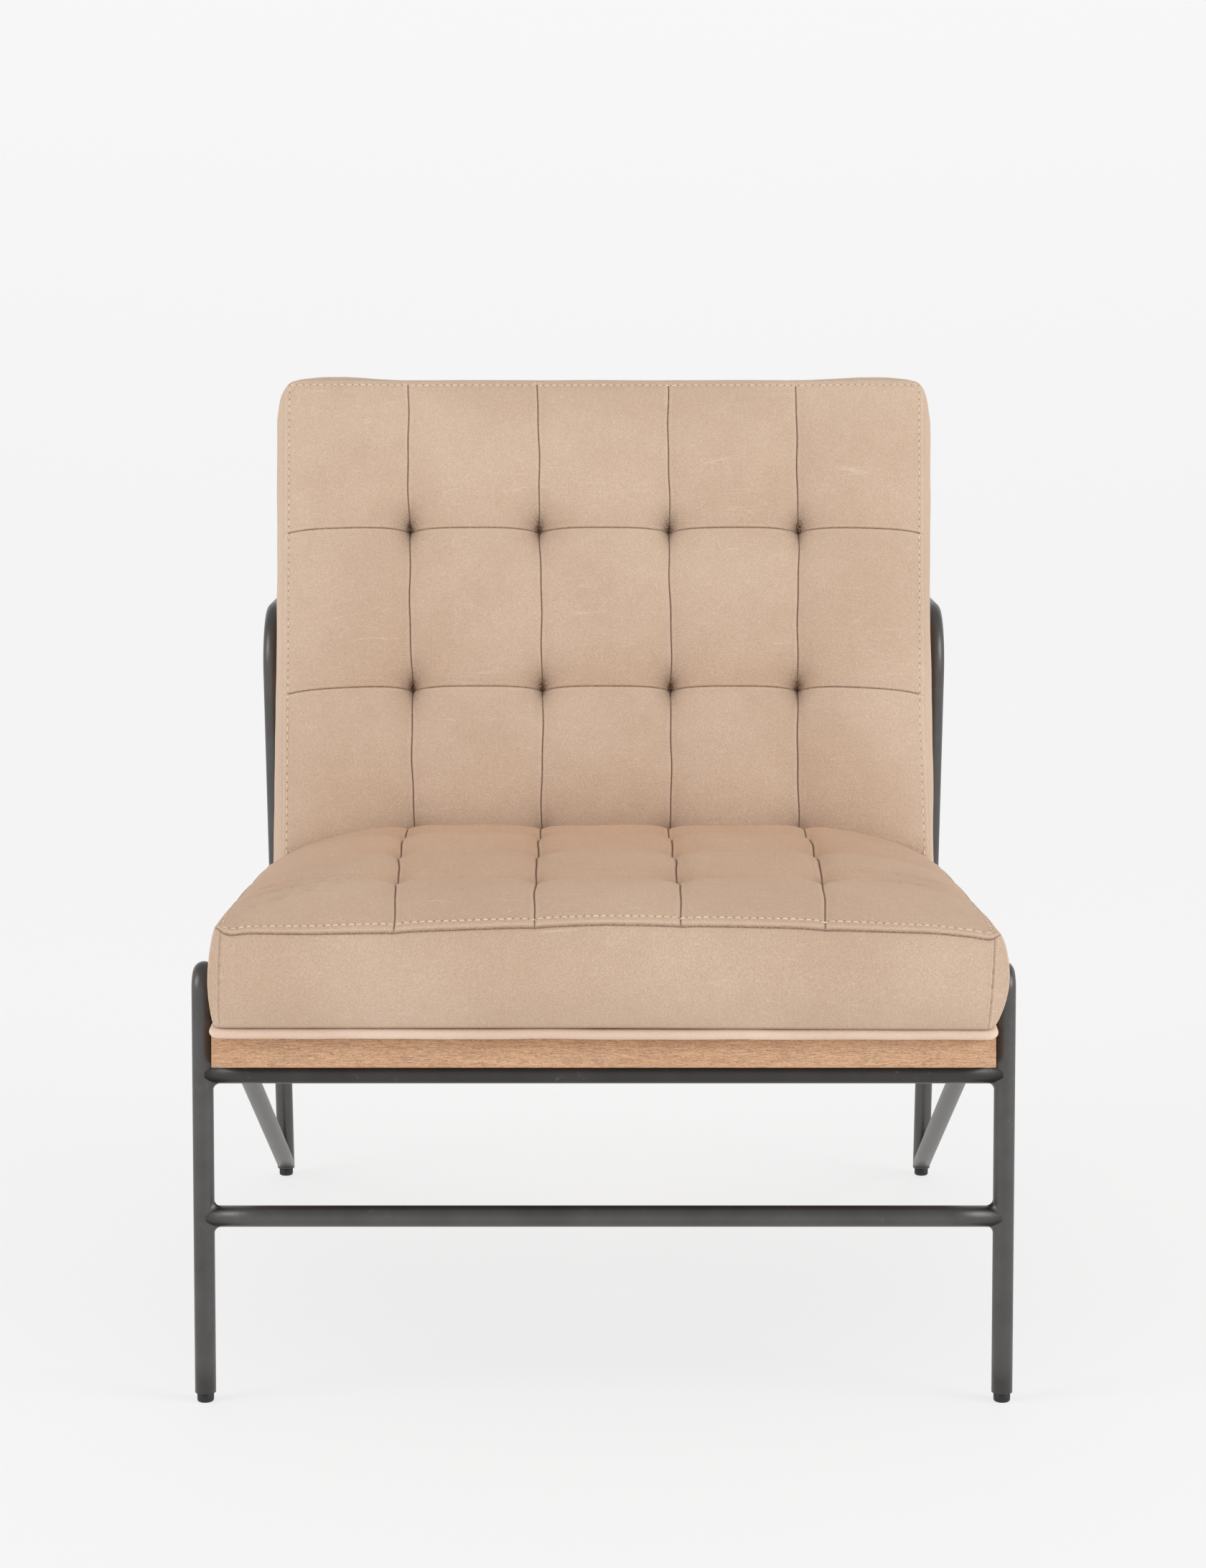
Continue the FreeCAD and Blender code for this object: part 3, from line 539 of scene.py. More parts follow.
def rounded_plan(x, length, half, start, end, radius):
    """Rounds the four corners of a face in plan."""
    mid = (start + end) / 2
    reach = (end - start) / 2
    over_x = ramp(np.abs(x) - (half - radius), radius)
    over_y = ramp(np.abs(length - mid) - (reach - radius), radius)
    both = (over_x > 0) & (over_y > 0)
    new_x = half - radius + radius * over_x * np.sqrt(1 - over_y**2 / 2)
    new_y = reach - radius + radius * over_y * np.sqrt(1 - over_x**2 / 2)
    x = np.where(both, np.sign(x) * new_x, x)
    return x, np.where(both, mid + np.sign(length - mid) * new_y, length)


class Cushion:
    """A blind-tufted cushion in its own frame: X across, Y along its rows and Z out of its face."""

    # Rises of the face: at its edge, over each panel, along the seams, and how far the tufts sink
    edge_step = 0.0024
    puff = 0.003
    end_lift = 0.0008
    side_lift = 0.0006
    side_rise = -0.0018
    row_rise = -0.0045
    node_drop = 0.008
    flat_across = 2.8
    flat_along = 2.4
    face_corner_r = corner_r

    # Seams and tufts: a narrow groove in a wider valley, and a pit with creases that fan out
    groove_depth = 0.0013
    groove_reach = 0.0007
    valley_depth = 0.0011
    valley_reach = 0.0042
    seams_cross = True
    pit = 0.009
    pit_reach = 0.0088
    pull_depth = 0.0005
    pull_reach = 0.014
    stitch_dent = 0.0006

    # How dark the leather is painted, with dirt and painted shade at the seams and edges and painted
    # shade in the tufts and over the boxing, and how tanned it is
    seam_soil_and_shade = 0.74
    tuft_pit_shade = 0.9
    tuft_reach = 0.0036
    tuft_shade = 0.16
    lip_soil_and_shade = 0.62
    side_soil_and_shade = 0.6
    corner_soil_and_shade = 0.5
    # A little painted shade over the whole boxing
    boxing_painted_shade = 0.035
    boxing_tan = 0.08

    # Shares of the boxing's height at which it has a ring of points, from its seam down to its foot
    boxing_steps = (0.003, 0.007, 0.012, 0.02, 0.035, 0.06, *np.linspace(0.09, 0.91, 30))
    boxing_steps += (0.94, 0.97, 0.986, 0.994, 1.0)

    def column_lines(self, length):
        """Where the seams between the columns run at a length, the two sides' seams among them."""
        inner = []
        for k, run in enumerate(self.columns):
            stray = 0.0006 * np.sin(length * 47 + k * 2.1 + self.seed)
            stray += 0.0003 * np.sin(length * 121 + k * 5.3)
            inner.append(np.interp(length, self.rows, run) + stray)
        wide = np.full_like(length, self.half)
        return [-wide, *inner, wide]

    def panel_at(self, x, length):
        """Each place's column of panels, the seams on its two sides and its share between them."""
        lines = np.stack(self.column_lines(length))
        column = np.clip((x >= lines[1:-1]).sum(0), 0, len(lines) - 2)
        left, right = [np.take_along_axis(lines, column[None] + side, 0)[0] for side in (0, 1)]
        return column, left, right, np.clip((x - left) / (right - left), 0, 1)

    def inside(self, x, length):
        """How far each place is from the face's edge."""
        ends = np.minimum(length - self.rows[0], self.rows[-1] - length)
        return np.minimum(self.half - np.abs(x), ends)

    def height(self, x, length):
        """The face's height at each place, its dirt and painted shade there, and its painted highlight
        beside the seams.
        """
        rows = np.array(self.rows)
        last_row = len(rows) - 2
        row = np.clip(np.searchsorted(rows, length, side="right") - 1, 0, last_row)
        depth = rows[row + 1] - rows[row]
        along = (length - rows[row]) / depth
        column, left, right, across = self.panel_at(x, length)

        # The panel's surface between its four corners, with the rise of its seams and of its middle
        at_front, at_rear = row == 0, row == last_row
        at_left, at_right = column == 0, column == len(self.columns)
        node = -self.node_drop
        ends, sides = (at_front, at_rear), (at_left, at_right)
        c00, c10, c01, c11 = [np.where(end | side, 0, node) for end in ends for side in sides]
        row_rises = [np.where(end, self.end_lift, self.row_rise - node) for end in ends]
        side_rises = [np.where(side, self.side_lift, self.side_rise - node) for side in sides]
        panel = between(along, between(across, c00, c10), between(across, c01, c11))
        panel += dome(across, self.flat_across) * between(along, *row_rises)
        panel += dome(along, self.flat_along) * between(across, *side_rises)
        panel += self.puff * dome(across, 2.4) * dome(along, 2.6)
        edge = self.inside(x, length)
        panel += self.edge_step * (1 - (1 - ramp(edge, stitch_inset)) ** 1.7)

        # The crown over the whole face, falling to its edge
        stops = [(i / 2, share) for i, share in enumerate(self.crown_shares)]
        inset = ramp(self.half - np.abs(x), self.half * 0.5)
        panel += self.crown * eased(stops, row + along) * (1 - (1 - inset) ** 3)

        # Grooves along the seams and pits at the tufts
        gap = np.minimum(np.minimum(x - left, right - x), np.minimum(along, 1 - along) * depth)
        gap = np.maximum(gap, 0)
        shown = 1.0 if self.seams_cross else ramp(edge - stitch_inset + 0.001, 0.001)
        panel -= self.groove_depth * fade(gap, self.groove_reach, 1.2) * shown
        panel -= self.valley_depth * fade(gap, self.valley_reach, 1)
        # Dirt and painted shade in the seams' grooves
        soil_and_shade = np.maximum(self.seam_soil_and_shade * fade(gap, 0.00055, 1.6) * shown, 0.07 * fade(gap, 0.004, 1))
        # Painted highlight just beside the seams, where the folded leather's edge catches light
        seam_highlight = fade(gap - 0.0016, 0.0007) * (edge > 0.001)
        sink, dark = self.tuft_marks(x, length)
        panel += self.folds(x, length) - sink
        return seam_h + panel - self.drop(x, length), np.clip(np.maximum(soil_and_shade, dark), 0, 1), seam_highlight

    def tuft_marks(self, x, length):
        """How deep the tufts pull the face in at each place, and the painted shade there, in the pit and
        above it.
        """
        sink = np.zeros_like(x)
        dark = np.zeros_like(x)
        for tuft_length in self.rows[1:-1]:
            for (tuft_x,) in self.column_lines(np.array([tuft_length]))[1:-1]:
                dx, dy = x - tuft_x, length - tuft_length
                away = np.hypot(dx, dy)
                angle = np.arctan2(dy, dx)
                star = away / (1 + 0.1 * np.cos(4 * angle))
                sink += self.pit * fade(star, self.pit_reach, 0.88)
                pull = np.sin(angle * 7 + tuft_x * 90 + tuft_length * 70)
                pull += 0.6 * np.sin(angle * 12 + tuft_x * 210)
                sink -= self.pull_depth * pull * fade(away, self.pull_reach, 1) * ramp(away, 0.006)
                # Painted shade: a dark slit in the pit and a halo round it, darker above the tuft
                slit = np.hypot(dx * 1.9, (dy - 0.0016) * 0.5)
                shade = self.tuft_pit_shade * fade(slit, self.tuft_reach, 1.05)
                shade += self.tuft_shade * (1 + 0.6 * np.sin(angle)) * fade(away, 0.0108, 1)
                dark = np.maximum(dark, shade)
        return sink, dark

    def nothing(self, x, length):
        return np.zeros_like(x)

    # What a cushion may add: the sag of the seam round its face, creases, tan with painted shade, the
    # wander of the seams across its face, the flare of its sides over the boxing, and the dip of the
    # boxing's foot
    drop = folds = face_tan_and_shade = row_wander = flare = foot_dip = nothing

    def bulge(self, x, length, share):
        """How far the boxing stands out sideways and lengthways at a share of its height."""
        at_side = np.abs(x) >= self.half - 1e-6
        out_x = np.where(at_side, np.sign(x) * self.side_swell(x, length) * rounded(share), 0)
        return np.stack([out_x, self.end_swell(x, length, share)], 1)

    def grid(self):
        """Places over the face in rows and columns, closer together at its seams and its stitching."""
        lengths = []
        for i, (low, high) in enumerate(zip(self.rows, self.rows[1:])):
            shares = spots(high - low, 26, i == 0, i == len(self.rows) - 2)
            lengths += [low + (high - low) * share for share in shares[(i > 0) :]]
        lengths = np.array(lengths)
        lines = self.column_lines(lengths)
        columns = []
        for i, (left, right) in enumerate(zip(lines, lines[1:])):
            shares = spots(0.13, 24, i == 0, i == len(lines) - 2)
            columns += [left + (right - left) * share for share in shares[(i > 0) :]]
        return np.stack(columns, 1), np.repeat(lengths[:, None], len(columns), 1)

    def boxing(self, x, length, rim, foot):
        """Rings of points from the face's rim down the boxing and under it, and each ring's dirt and
        painted shade.
        """
        foot_level = foot_h - self.foot_dip(x, length)
        ahead = np.roll(rim[:, :2], -1, 0) - np.roll(rim[:, :2], 1, 0)
        outward = np.stack([ahead[:, 1], -ahead[:, 0]], 1)
        outward /= np.linalg.norm(outward, axis=1)[:, None]
        seam_gap = np.hypot(self.half - corner_seam_inset - np.abs(x), length - self.rows[0])
        edge_soil_and_shade = np.where(np.abs(x) >= self.half - 1e-6, self.side_soil_and_shade, self.lip_soil_and_shade)
        calm = np.where(np.abs(x) > self.half - 0.004, 0.15, 1)
        rings = []
        ring_soil_and_shade = []
        for down in self.boxing_steps:
            up = 1 - down
            swell = math.sin(math.pi * up)
            plan = rim[:, :2] * up + foot * down + self.bulge(x, length, up)
            level = foot_level + (rim[:, 2] - foot_level) * up
            lip = 0.0008 * fade(down * boxing_h, 0.0008, 1.2) + 0.0014 * fade(up * boxing_h, 0.0014, 1.2)
            crease = 0.0017 * fade(seam_gap, 0.001, 1.4) * swell**0.3
            crease -= 0.0008 * fade(seam_gap - 0.0024, 0.0012) * swell**0.5
            pucker = math.sin(up * 41 + self.seed) + 0.7 * math.sin(up * 73 + 2 * self.seed)
            puckers = 0.0006 * fade(seam_gap, 0.012, 1) * pucker * swell * calm
            ripple = 0.0009 * smooth_noise(np.column_stack([plan, level]), 24, self.seed + 2) * swell
            plan = plan + outward * (puckers + ripple - lip - crease)[:, None]
            rings.append(np.column_stack([plan, level]))
            # Dirt and painted shade along the boxing's top and foot seams and its corner seams
            edge = max(fade(down * boxing_h, 0.0005), fade(up * boxing_h, 0.0013) * 0.9) * edge_soil_and_shade
            ring_soil_and_shade.append(np.maximum(edge, self.corner_soil_and_shade * fade(seam_gap, 0.0007)) + self.boxing_painted_shade)
        # Under the foot the leather turns in and closes on the board
        last = rings[-1]
        for inset, level in ((0.004, foot_level + 0.0004), (0.0045, board_top_h), (0.03, board_top_h)):
            under = last.copy()
            under[:, :2] -= outward * inset
            under[:, 2] = level
            rings.append(under)
            ring_soil_and_shade.append(np.zeros(len(under)))
        return rings, ring_soil_and_shade

    def build(self):
        """The closed cushion: tufted face, boxing with its corner seams, and a flat underside."""
        start, end = self.rows[0], self.rows[-1]
        foot_start, foot_end = self.foot_run
        x, plain_y = self.grid()
        y = plain_y + self.row_wander(x, plain_y)
        ny, nx = x.shape
        x, y, plain_y = x.ravel(), y.ravel(), plain_y.ravel()
        edge = self.inside(x, plain_y)
        height, soil_and_shade, seam_highlight = self.height(x, plain_y)
        height -= self.stitch_dent * fade(edge - stitch_inset, 0.0008)
        places = np.stack([x, y, np.zeros_like(x)], 1)
        unevenness = 0.0011 * smooth_noise(places, 17, self.seed)
        unevenness += 0.00045 * smooth_noise(places, 55, self.seed + 5)
        height += unevenness * ramp(edge, 0.03)
        plan_x, plan_y = rounded_plan(x, y, self.half, start, end, self.face_corner_r)
        face = np.stack([plan_x + self.flare(x, y), plan_y, height], 1)

        # The rim of the face, anticlockwise, and the boxing below it
        rim = [*range(nx)]
        rim += [j * nx + nx - 1 for j in range(1, ny)]
        rim += [(ny - 1) * nx + i for i in range(nx - 2, -1, -1)]
        rim += [j * nx for j in range(ny - 2, 0, -1)]
        foot_x = x[rim] / self.half * foot_half
        foot_y = foot_start + (foot_end - foot_start) * ((y[rim] - start) / (end - start))
        foot = rounded_plan(foot_x, foot_y, foot_half, foot_start, foot_end, corner_r)
        rings, ring_soil_and_shade = self.boxing(x[rim], y[rim], face[rim], np.stack(foot, 1))

        corners = [j * nx + i for j in range(ny - 1) for i in range(nx - 1)]
        faces = [(a, a + 1, a + nx + 1, a + nx) for a in corners]
        before = rim
        count = len(rim)
        for k in range(len(rings)):
            after = [len(face) + k * count + i for i in range(count)]
            edges = zip(before, before[1:] + before[:1], after, after[1:] + after[:1])
            faces += [(b, a, c, d) for a, b, c, d in edges]
            before = after
        faces.append(tuple(reversed(before)))
        points = self.settle(np.vstack([face, *rings]))
        rest = len(points) - len(face)
        marks = {
            "soil_and_shade": np.concatenate([soil_and_shade, *ring_soil_and_shade]),
            "tan": np.concatenate([self.face_tan_and_shade(x, plain_y), np.full(rest, self.boxing_tan)]),
            "seam_highlight": np.concatenate([seam_highlight, np.zeros(rest)]),
        }
        world = [self.place @ Vector(p) for p in points]
        piece = mesh_piece(self.name + "_cushion", world, faces, leather, "leather", marks)
        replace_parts(piece, *(self.name + part for part in ("_cover_panel", "_cover_boxing", "_foam")))

    def topstitch(self, tail, line, pitch, radius):
        """Stitches up one side of the face, along its seam and down the other side, and their holes."""
        aside = self.half - stitch_inset
        run = [Vector(p) for p in ((-aside, tail), (-aside, line), (aside, line), (aside, tail))]
        stitches = ([], [])
        holes = ([], [])
        for a, b in zip(run, run[1:]):
            count = round((b - a).length / pitch)
            way = (b - a).normalized()
            for i in range(count):
                middle = a.lerp(b, (i + 0.5) / count)
                self.stitch(middle, way, pitch, radius, stitches, holes)
        name = self.name + "_topstitching"
        for part, made, finish in ((name + "_holes", holes, needle_hole_shade), (name, stitches, thread)):
            mesh_piece(part, [self.place @ p for p in made[0]], made[1], finish, "leather")

    def stitch(self, middle, way, pitch, radius, stitches, holes):
        """Adds one stitch, a thread's capsule half sunk in the leather, and a dark disc of painted shade
        for the hole after it.
        """
        ends = [middle + way * reach for reach in (-stitch_length / 2, 0, stitch_length / 2)]
        x, y = np.array([p.x for p in ends]), np.array([p.y for p in ends])
        levels = self.height(x, y)[0] - 0.0005
        ends = [Vector(p) for p in zip(x + self.flare(x, y), y + self.row_wander(x, y))]
        along, aside, up = way.to_3d(), Vector((-way.y, way.x, 0)), Vector((0, 0, 1))
        sides, rings = 6, 5
        points, faces = stitches
        first = len(points)
        for k in range(rings):
            share = k / (rings - 1)
            thick = radius * math.sin(math.pi * (0.12 + 0.76 * share)) ** 0.6
            level = np.interp(share, (0, 0.5, 1), levels) + 0.0002 - 0.0005 * (2 * share - 1) ** 2
            centre = Vector((*ends[0].lerp(ends[2], share), level))
            points += ring(centre, aside * thick, up * thick, sides)
        faces += quads(rings, sides, first=first) + caps(rings, sides, first)
        # The hole after the stitch: a small dark disc of painted shade
        sides = 8
        points, faces = holes
        first = len(points)
        hole = ends[2] + way * (pitch - stitch_length) / 2
        for share, lift in ((1.0, 0.00055), (0.5, 0.00075)):
            centre = Vector((*hole, levels[2] + lift))
            points += ring(centre, along * radius * share, aside * radius * share * 0.6, sides)
        faces += quads(2, sides, first=first) + caps(2, sides, first)[1:]


class Seat(Cushion):
    """The seat: deeper crown, rows of tufts that sink far, and a front seam that sags to its corners."""

    name = "seat"
    place = seat_place
    seed = 3
    half = 0.3165
    foot_run = (-0.0433, 0.409)
    rows = (-0.054, 0.074, 0.203, 0.332, 0.4236)
    columns = (
        (-0.1706, -0.1746, -0.1806, -0.1838, -0.184),
        (-0.0562, -0.0572, -0.0582, -0.0586, -0.0586),
        (0.0634, 0.0628, 0.0618, 0.061, 0.0606),
        (0.1795, 0.185, 0.187, 0.187, 0.1866),
    )
    # How far the face crowns, and the share of that at each half row
    crown = 0.034
    crown_shares = (0, 0.4, 0.65, 0.8, 0.91, 0.97, 1, 0.92, 0.45)
    puff = -0.001
    side_rise = 0.005
    row_rise = -0.001
    node_drop = 0.007
    pit = 0.007
    flat_across = 5.5
    flat_along = 2.1

    def drop(self, x, length):
        sag = (
            (-0.3165, 0.0005), (-0.304, 0.0074), (-0.291, 0.0052), (-0.245, 0.006),
            (-0.2, 0.0053), (-0.17, 0.0044), (-0.141, 0.0032), (-0.083, 0.0012),
            (0, -0.0018), (0.093, -0.0003), (0.152, 0.0009), (0.211, 0.0035),
            (0.269, 0.0052), (0.299, 0.0084), (0.308, 0.0112), (0.3165, 0.0062),
        )
        return eased(sag, x, 1) * fade(length - self.rows[0], 0.04, 1.6)

    def folds(self, x, length):
        """Long creases over the outer panels, and short arched ones before the first tufts."""
        aside = np.abs(x) - 0.19
        lift = np.zeros_like(x)
        for side, at, slope, bend, depth in (
            (-1, 0.07, 0.22, 0.9, 0.0028),
            (-1, 0.088, 0.05, 0.7, 0.003),
            (-1, 0.05, 0.4, 1.3, 0.002),
            (1, 0.072, 0.12, 0.8, 0.002),
            (1, 0.094, -0.04, 0.5, 0.0019),
        ):
            off = length - (at - slope * aside - bend * aside**2)
            window = ramp(aside, 0.02) * ramp(0.122 - aside, 0.03) * (x * side > 0)
            lift -= depth * (fade(off, 0.0026) - 0.55 * fade(off - 0.006, 0.005)) * window
        arches = ((-0.118, 0.064, 0.0011), (0.002, 0.066, 0.0008), (0.122, 0.066, 0.001))
        for column, at, depth in arches:
            off = length - (at - 7.0 * (x - column) ** 2)
            lift -= depth * fade(off, 0.0022) * ramp(0.05 - np.abs(x - column), 0.05) ** 0.5
        return lift

    def face_tan_and_shade(self, x, length):
        # Tan deepening towards the seat's rear: painted shade where the back cushion shades the seat
        return np.interp(length, self.rows, (0.3, 0.52, 0.68, 0.76, 0.76))

    def flare(self, x, length):
        """The lip that curls out at the right front corner."""
        along = length - self.rows[0]
        lip = 0.003 * fade(along, 0.016) + 0.0044 * fade(along - 0.02, 0.045)
        return fade(x - self.half, 0.02) * lip

    def foot_dip(self, x, length):
        return (0.0026 + 0.0014 * ramp(x, 0.3)) * ramp(0.02 - (length - self.rows[0]), 0.02)

    def side_swell(self, x, length):
        """The boxing stands out furthest before the legs, and there more on the right."""
        before_leg = ramp(-0.012 - length, 0.03)
        return 0.0046 + before_leg * np.where(x > 0, 0.0058, 0.0012)

    def end_swell(self, x, length, share):
        off_corner = ramp(self.half - np.abs(x), 0.02) ** 0.5
        out = -0.0132 * rounded(share) * (0.55 + 0.45 * off_corner)
        return np.where(length <= self.rows[0] + 1e-6, out, 0)

    def settle(self, points):
        """Keeps the seat's rear clear of the back cushion, which leans over it."""
        limit = self.foot_run[1] - 0.001 + (points[:, 2] - foot_h) * math.tan(recline - seat_tilt)
        points[:, 1] = np.minimum(points[:, 1], limit)
        return points


class Back(Cushion):
    """The back: a lower crown, seams that arch between the tufts, and raised top corners."""

    name = "back"
    place = back_place
    seed = 8
    half = 0.3128
    foot_run = (0.015, 0.5617)
    rows = (0.0005, 0.114, 0.2609, 0.4155, 0.566)
    columns = (
        (-0.1806, -0.1806, -0.184, -0.188, -0.1908),
        (-0.0588, -0.059, -0.0585, -0.0618, -0.0643),
        (0.0632, 0.0633, 0.0649, 0.0632, 0.0627),
        (0.185, 0.1855, 0.1856, 0.1882, 0.1864),
    )
    crown = 0.013
    crown_shares = (0, 0.3, 0.8, 1, 1, 1, 0.95, 0.7, 0)
    face_corner_r = 0.013
    pit = 0.0105
    seams_cross = False
    side_soil_and_shade = 0.22
    tuft_reach = 0.0062
    tuft_shade = 0.44

    def drawn_in(self, x, length):
        """How far the left or the right side of the face is drawn in over the boxing."""
        lengths = (0, 0.14, 0.236, 0.372, 0.566)
        left = np.interp(length, lengths, (0.0058, 0.0056, 0.0046, 0.0033, 0.001))
        right = np.interp(length, lengths, (0.001, 0.002, 0.0046, 0.0027, 0))
        return np.where(x < 0, left, right)

    def flare(self, x, length):
        return -np.sign(x) * ramp(np.abs(x) - 0.19, self.half - 0.19) ** 1.5 * self.drawn_in(x, length)

    def row_wander(self, x, length):
        """The seams' arches, a lift at the top corners and a fall towards the face's sides."""
        start, end = self.rows[0], self.rows[-1]
        within = ramp(np.minimum(length - start, end - length), 0.1)
        share = self.panel_at(x, length)[3]
        arch = 0.0034 * dome(share, 4) * within**2 * (3 - 2 * within)
        corner_lift = 0.001 * fade(np.abs(x) - 0.262, 0.04) * ramp(length - end + 0.12, 0.12)
        falls = np.interp(length, self.rows, (0, 0.026, 0.0048, 0.0022, 0))
        return arch + corner_lift - ramp(np.abs(x) - 0.2, 0.11) ** 1.3 * falls

    def side_swell(self, x, length):
        rise = ramp(length, self.rows[-1])
        widths = (0.0025, 0.0035, 0.0036, 0.0052, 0.0066, 0.0062)
        wide = np.interp(rise, (0, 0.35, 0.6, 0.8, 0.92, 1), widths)
        return wide * ramp(self.rows[-1] - length, 0.03) ** 0.5 + 0.5 * self.drawn_in(x, length)

    def end_swell(self, x, length, share):
        """The top band stands up, and highest short of its two corners."""
        stops = (0.18, 0.2, 0.225, 0.25, 0.276, 0.293, 0.305, 0.3125)
        lifts = (0.0042, 0.0044, 0.0056, 0.007, 0.007, 0.0052, 0.003, 0)
        lift = np.interp(np.abs(x), stops, lifts) * math.sin(math.pi * share**2.4)
        return np.where(length >= self.rows[-1] - 1e-6, lift, 0)

    def settle(self, points):
        """Flattens the foot of the face, where the seat hides it and presses on it."""
        over = np.maximum(points[:, 2] - seam_h, 0)
        points[:, 2] -= over * ramp(0.112 - points[:, 1], 0.02)
        return points


seat, back = Seat(), Back()
seat.build()
back.build()
seat.topstitch(0.4, seat.rows[0] + stitch_inset, 0.0064, 0.00076)
back.topstitch(0.02, back.rows[-1] - stitch_inset, 0.0069, 0.0006)


def welt(name, place, closed, corners):
    """The leather-covered cord round a cushion's foot, slightly uneven as hand-fitted piping is."""
    corners = [Vector((side * welt_half, length, welt_h - dip)) for side, length, dip in corners]
    path = with_runs(rounded_path(corners, 0.007, closed), 0.012, closed)
    path = [place @ (p + Vector((0, 0, 0.0005 * noise.noise(p * 23)))) for p in path]
    points, faces = swept(path, welt_r, welt_sides, closed)
    if not closed:
        faces += caps(len(path), welt_sides)
    piece = mesh_piece(name + "_piping", points, faces, welt_leather, "leather")
    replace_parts(piece, name + "_welt")


# Each corner's side, its place along the cushion, and how low the welt hangs there
behind_front = seat_welt_front + 0.022
seat_corners = (
    (-1, seat_welt_front, 0.0026), (1, seat_welt_front, 0.0038), (1, behind_front, 0),
    (1, seat_welt_rear, 0), (-1, seat_welt_rear, 0), (-1, behind_front, 0),
)
back_corners = (
    (1, back_welt_foot, 0), (1, back_welt_top, 0), (-1, back_welt_top, 0), (-1, back_welt_foot, 0),
)
welt("seat", seat_place, True, seat_corners)
welt("back", back_place, False, back_corners)


def bent_tube(name, x, corners, bend_r):
    """One bent tube of a side of the frame, cut level at its foot, each end hollow to the eye."""
    path = with_runs(rounded_path([Vector((x, *corner)) for corner in corners], bend_r), 0.06)
    points, faces = swept(path, tube_r, tube_sides)
    way = (path[1] - path[0]).normalized()
    for i in range(tube_sides):
        points[i] = points[i] + way * ((leg_bottom_z - points[i].z) / way.z)
    points = [Vector((p.x, p.y, max(p.z, leg_bottom_z))) for p in points]
    for start, order in ((0, -1), ((len(path) - 1) * tube_sides, 1)):
        rim = points[start : start + tube_sides]
        middle = sum(rim, Vector()) / tube_sides
        first = len(points)
        points += [middle.lerp(p, bore_share) for p in rim]
        for j in range(tube_sides):
            k = (j + 1) % tube_sides
            faces.append((start + j, start + k, first + k, first + j)[::order])
        faces.append(tuple(range(first, first + tube_sides))[::order])
    return mesh_piece(name, points, faces, steel, "frame_steel")


def collar(centre, way, leg_way, points, faces):
    """Adds one weld's fillet where a tube leaves a leg of the same size."""
    slant = way.dot(leg_way)
    over = (leg_way - way * slant).normalized()
    aside = way.cross(over)
    spread = over.dot(leg_way)
    steps = 8
    first = len(points)
    for j in range(tube_sides):
        angle = math.tau * j / tube_sides
        c, s = math.cos(angle), math.sin(angle)
        out = over * c + aside * s
        reach = weld_reach * c * c * (1 + 0.12 * math.sin(5 * angle) + 0.08 * math.sin(11 * angle))
        meet = tube_r / spread * (slant * c + abs(c))
        wide = tube_r + reach
        room = slant**2 * wide**2 * spread**2 * c**2
        room -= spread**2 * (wide**2 - wide**2 * spread**2 * c**2 - tube_r**2)
        on_leg = (slant * wide * spread * c + math.sqrt(max(0, room))) / spread**2
        start = centre + way * (meet + reach) + out * (tube_r - 0.0001)
        corner = centre + way * meet + out * tube_r
        end = centre + way * (min(on_leg, meet + reach) - 0.0001) + out * wide
        for k in range(steps):
            t = k / (steps - 1)
            points.append(start * (1 - t) ** 2 + corner * 2 * t * (1 - t) + end * t**2)
    for j in range(tube_sides):
        a, b = first + j * steps, first + (j + 1) % tube_sides * steps
        faces += [(a + k, b + k, b + k + 1, a + k + 1) for k in range(steps - 1)]


top_corner_y = rear_rail.y - (top_corner_z - rear_rail.z) * math.tan(rear_lean)
front_run = ((front_y, leg_bottom_z), (front_y, front_corner_z), (rear_foot_y, brace_end_z))
rear_run = ((rear_foot_y, leg_bottom_z), (top_corner_y, top_corner_z), (rear_leg_high.y, top_corner_z))

# Each tube between the sides, which way the leg that it meets runs there, and its finish; the front
# rail's is darker, painted shade
cross_tubes = (
    ("front_rail", front_y, rail_z, (0, 0, 1), rail_shaded_steel),
    ("front_stretcher", front_y, stretcher_z, (0, 0, 1), steel),
    ("rear_rail", rear_rail.y, rear_rail.z, (0, -math.sin(rear_lean), math.cos(rear_lean)), steel),
    ("back_rail", back_rail.y, back_rail.z, (0, 1, 0), steel),
)
welds = ([], [])
for side, sign in (("left", -1), ("right", 1)):
    for leg, run, bend_r in (("front_leg", front_run, front_bend_r), ("rear_leg", rear_run, top_bend_r)):
        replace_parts(bent_tube(f"{leg}_tube_{side}", leg_x * sign, run, bend_r), f"{leg}_{side}")
    for name, y, z, leg_way, finish in cross_tubes:
        end = Vector((leg_x * sign, y, z))
        collar(end, Vector((-sign, 0, 0)), Vector(leg_way), *welds)
mesh_piece("weld_fillets", *welds, steel, "frame_steel")
for name, y, z, leg_way, finish in cross_tubes:
    half = leg_x - tube_r * 0.25
    path = with_runs([Vector((-half, y, z)), Vector((half, y, z))], 0.05)
    points, faces = swept(path, tube_r, tube_sides)
    faces += caps(len(path), tube_sides)
    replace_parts(mesh_piece(name + "_tube", points, faces, finish, "frame_steel"), name)


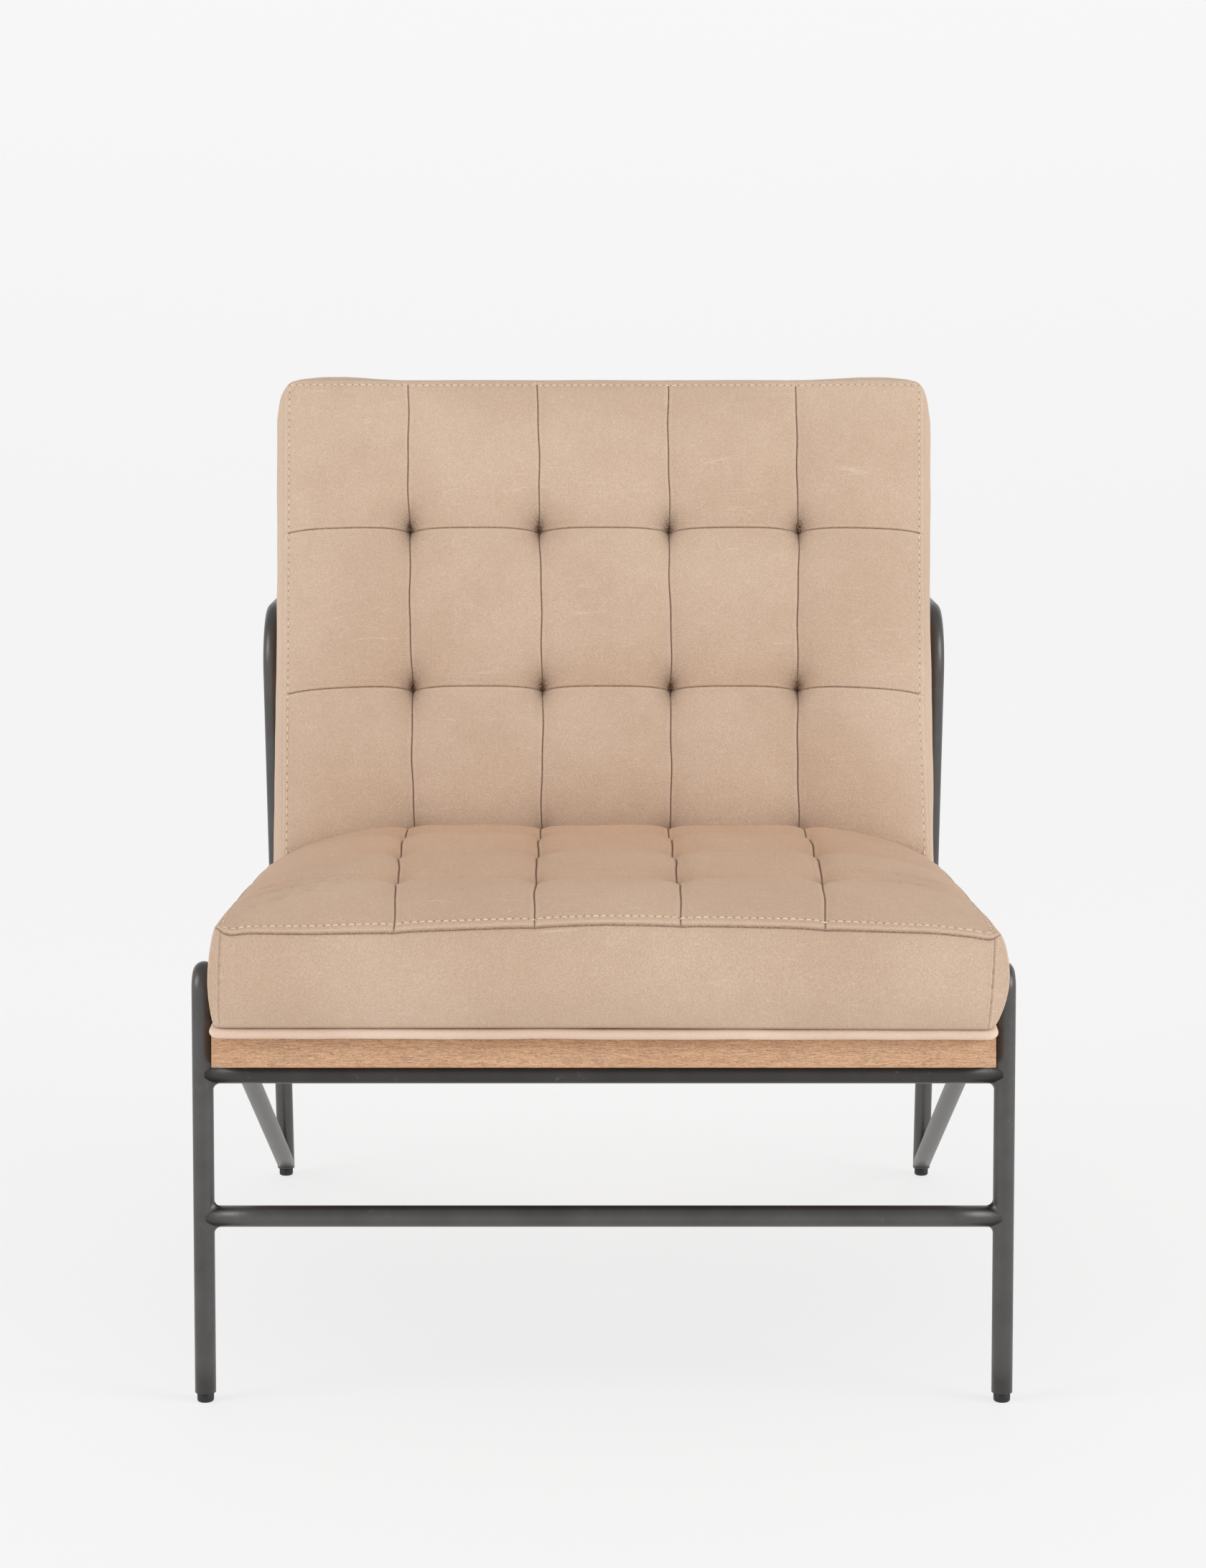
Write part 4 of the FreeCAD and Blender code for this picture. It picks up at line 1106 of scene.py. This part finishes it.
def glides(name, y):
    """Two black plug glides under the legs' ends, with a shoulder and a rounded foot."""
    profile = ((0.0056, 0), (0.0064, 0.0004), (0.0069, 0.0012), (0.007, 0.003), (0.007, 0.0068))
    profile += ((0.0066, 0.0074), (0.0066, leg_bottom_z + 0.0012))
    sides = 40
    points = []
    faces = []
    for x in (-leg_x, leg_x):
        first = len(points)
        for radius, height in profile:
            points += ring(Vector((x, y, height)), Vector((radius, 0, 0)), Vector((0, radius, 0)), sides)
        faces += quads(len(profile), sides, first=first) + caps(len(profile), sides, first)
    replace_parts(mesh_piece(name + "_plugs", points, faces, plastic, "black_plastic"), name)


glides("front_glides", front_y)
glides("rear_glides", rear_foot_y + leg_bottom_z * math.tan(rear_lean) / 2)

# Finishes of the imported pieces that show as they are
for finish, names in (
    (front_wood, ("base_front_board", "base_rear_board", "back_foot_board", "back_top_board")),
    (side_wood, ("base_side_left", "base_side_right")),
    (upright_wood, ("back_stile_left", "back_stile_right", "back_panel")),
    (hidden_wood, ("base_corner_blocks", "seat_tuft_toggles", "back_tuft_toggles")),
    (ply, ("seat_board", "back_board")),
    (bottom_cloth, ("seat_dust_cloth",)),
    (webbing, ("seat_tuft_tapes", "back_tuft_tapes")),
    (plastic, ("top_plugs",)),
    (steel, ("seat_bearer_left", "seat_bearer_right", "back_bracket_left", "back_bracket_right")),
    (zinc, ("base_screws", "plate_screws", "angle_screws", "angle_bracket_left", "angle_bracket_right")),
):
    for name in names:
        nodes[name].data.materials.clear()
        nodes[name].data.materials.append(finish)


def softbox(name, place, size, power):
    """A large square lamp that faces the chair."""
    lamp = bpy.data.lights.new(name, "AREA")
    lamp.shape = "SQUARE"
    lamp.size = size
    lamp.energy = power
    box = bpy.data.objects.new(name, lamp)
    box.location = place
    chair_middle = Vector((0, 0, 0.45))
    box.rotation_euler = (Vector(place) - chair_middle).to_track_quat("Z", "Y").to_euler()
    scene.collection.objects.link(box)


def studio():
    """A pale floor that sweeps up behind the chair, and a sky that is brightest near the floor."""
    steps = 24
    depth, rise, bend, wide = 6.0, 5.0, 1.6, 60.0
    line = [(-wide, 0), (-depth, 0), (depth - bend, 0)]
    for i in range(1, steps + 1):
        angle = math.pi / 2 * i / steps
        line.append((depth - bend + bend * math.sin(angle), bend - bend * math.cos(angle)))
    line.append((depth, rise))
    points = [(x, y, z) for y, z in line for x in (-wide, wide)]
    faces = [(i * 2, i * 2 + 1, i * 2 + 3, i * 2 + 2) for i in range(len(line) - 1)]
    paper = Finish("pale_paper")
    paper.surface(
        Base_Color=(0.24, 0.24, 0.24, 1),
        Roughness=0.9,
        Specular_IOR_Level=0.1,
        Emission_Color=(1, 1, 1, 1),
        Emission_Strength=0.715,
        Normal=paper.bump(paper.noise(400.0), 0.0002, 0.2),
    )
    smooth_object("studio_sweep", points, faces, paper.material)
    scene.world = bpy.data.worlds.new("soft_sky")
    sky = Finish("soft_sky", scene.world)
    height = sky.node("ShaderNodeSeparateXYZ", {}, {"Vector": sky.place}, "Z").step(0.06, 0.55)
    glow = {"Color": (1, 1, 1, 1), "Strength": 0.9 - height * 0.39}
    sky.end(sky.node("ShaderNodeBackground", {}, glow), "ShaderNodeOutputWorld")


def camera():
    """The photograph's view: from in front, higher than the back's top and tilted a little down."""
    lens = bpy.data.cameras.new("photo_view")
    lens.sensor_width = 36
    lens.lens = 79.641
    lens.shift_x = -0.00046
    lens.shift_y = -0.15
    distance, height, dip = 2.8277, 0.9288, math.radians(4.385)
    view = bpy.data.objects.new("photo_view", lens)
    view.location = (0, front_y - distance, height)
    view.rotation_euler = (math.pi / 2 - dip, 0, 0)
    scene.collection.objects.link(view)
    scene.camera = view


scene.view_settings.view_transform = "Standard"
studio()
softbox("key_light", (-4.1, -2.1, 2.3), 2.2, 71)
softbox("fill_light", (4.2, -2.0, 2.1), 2.4, 88)
camera()
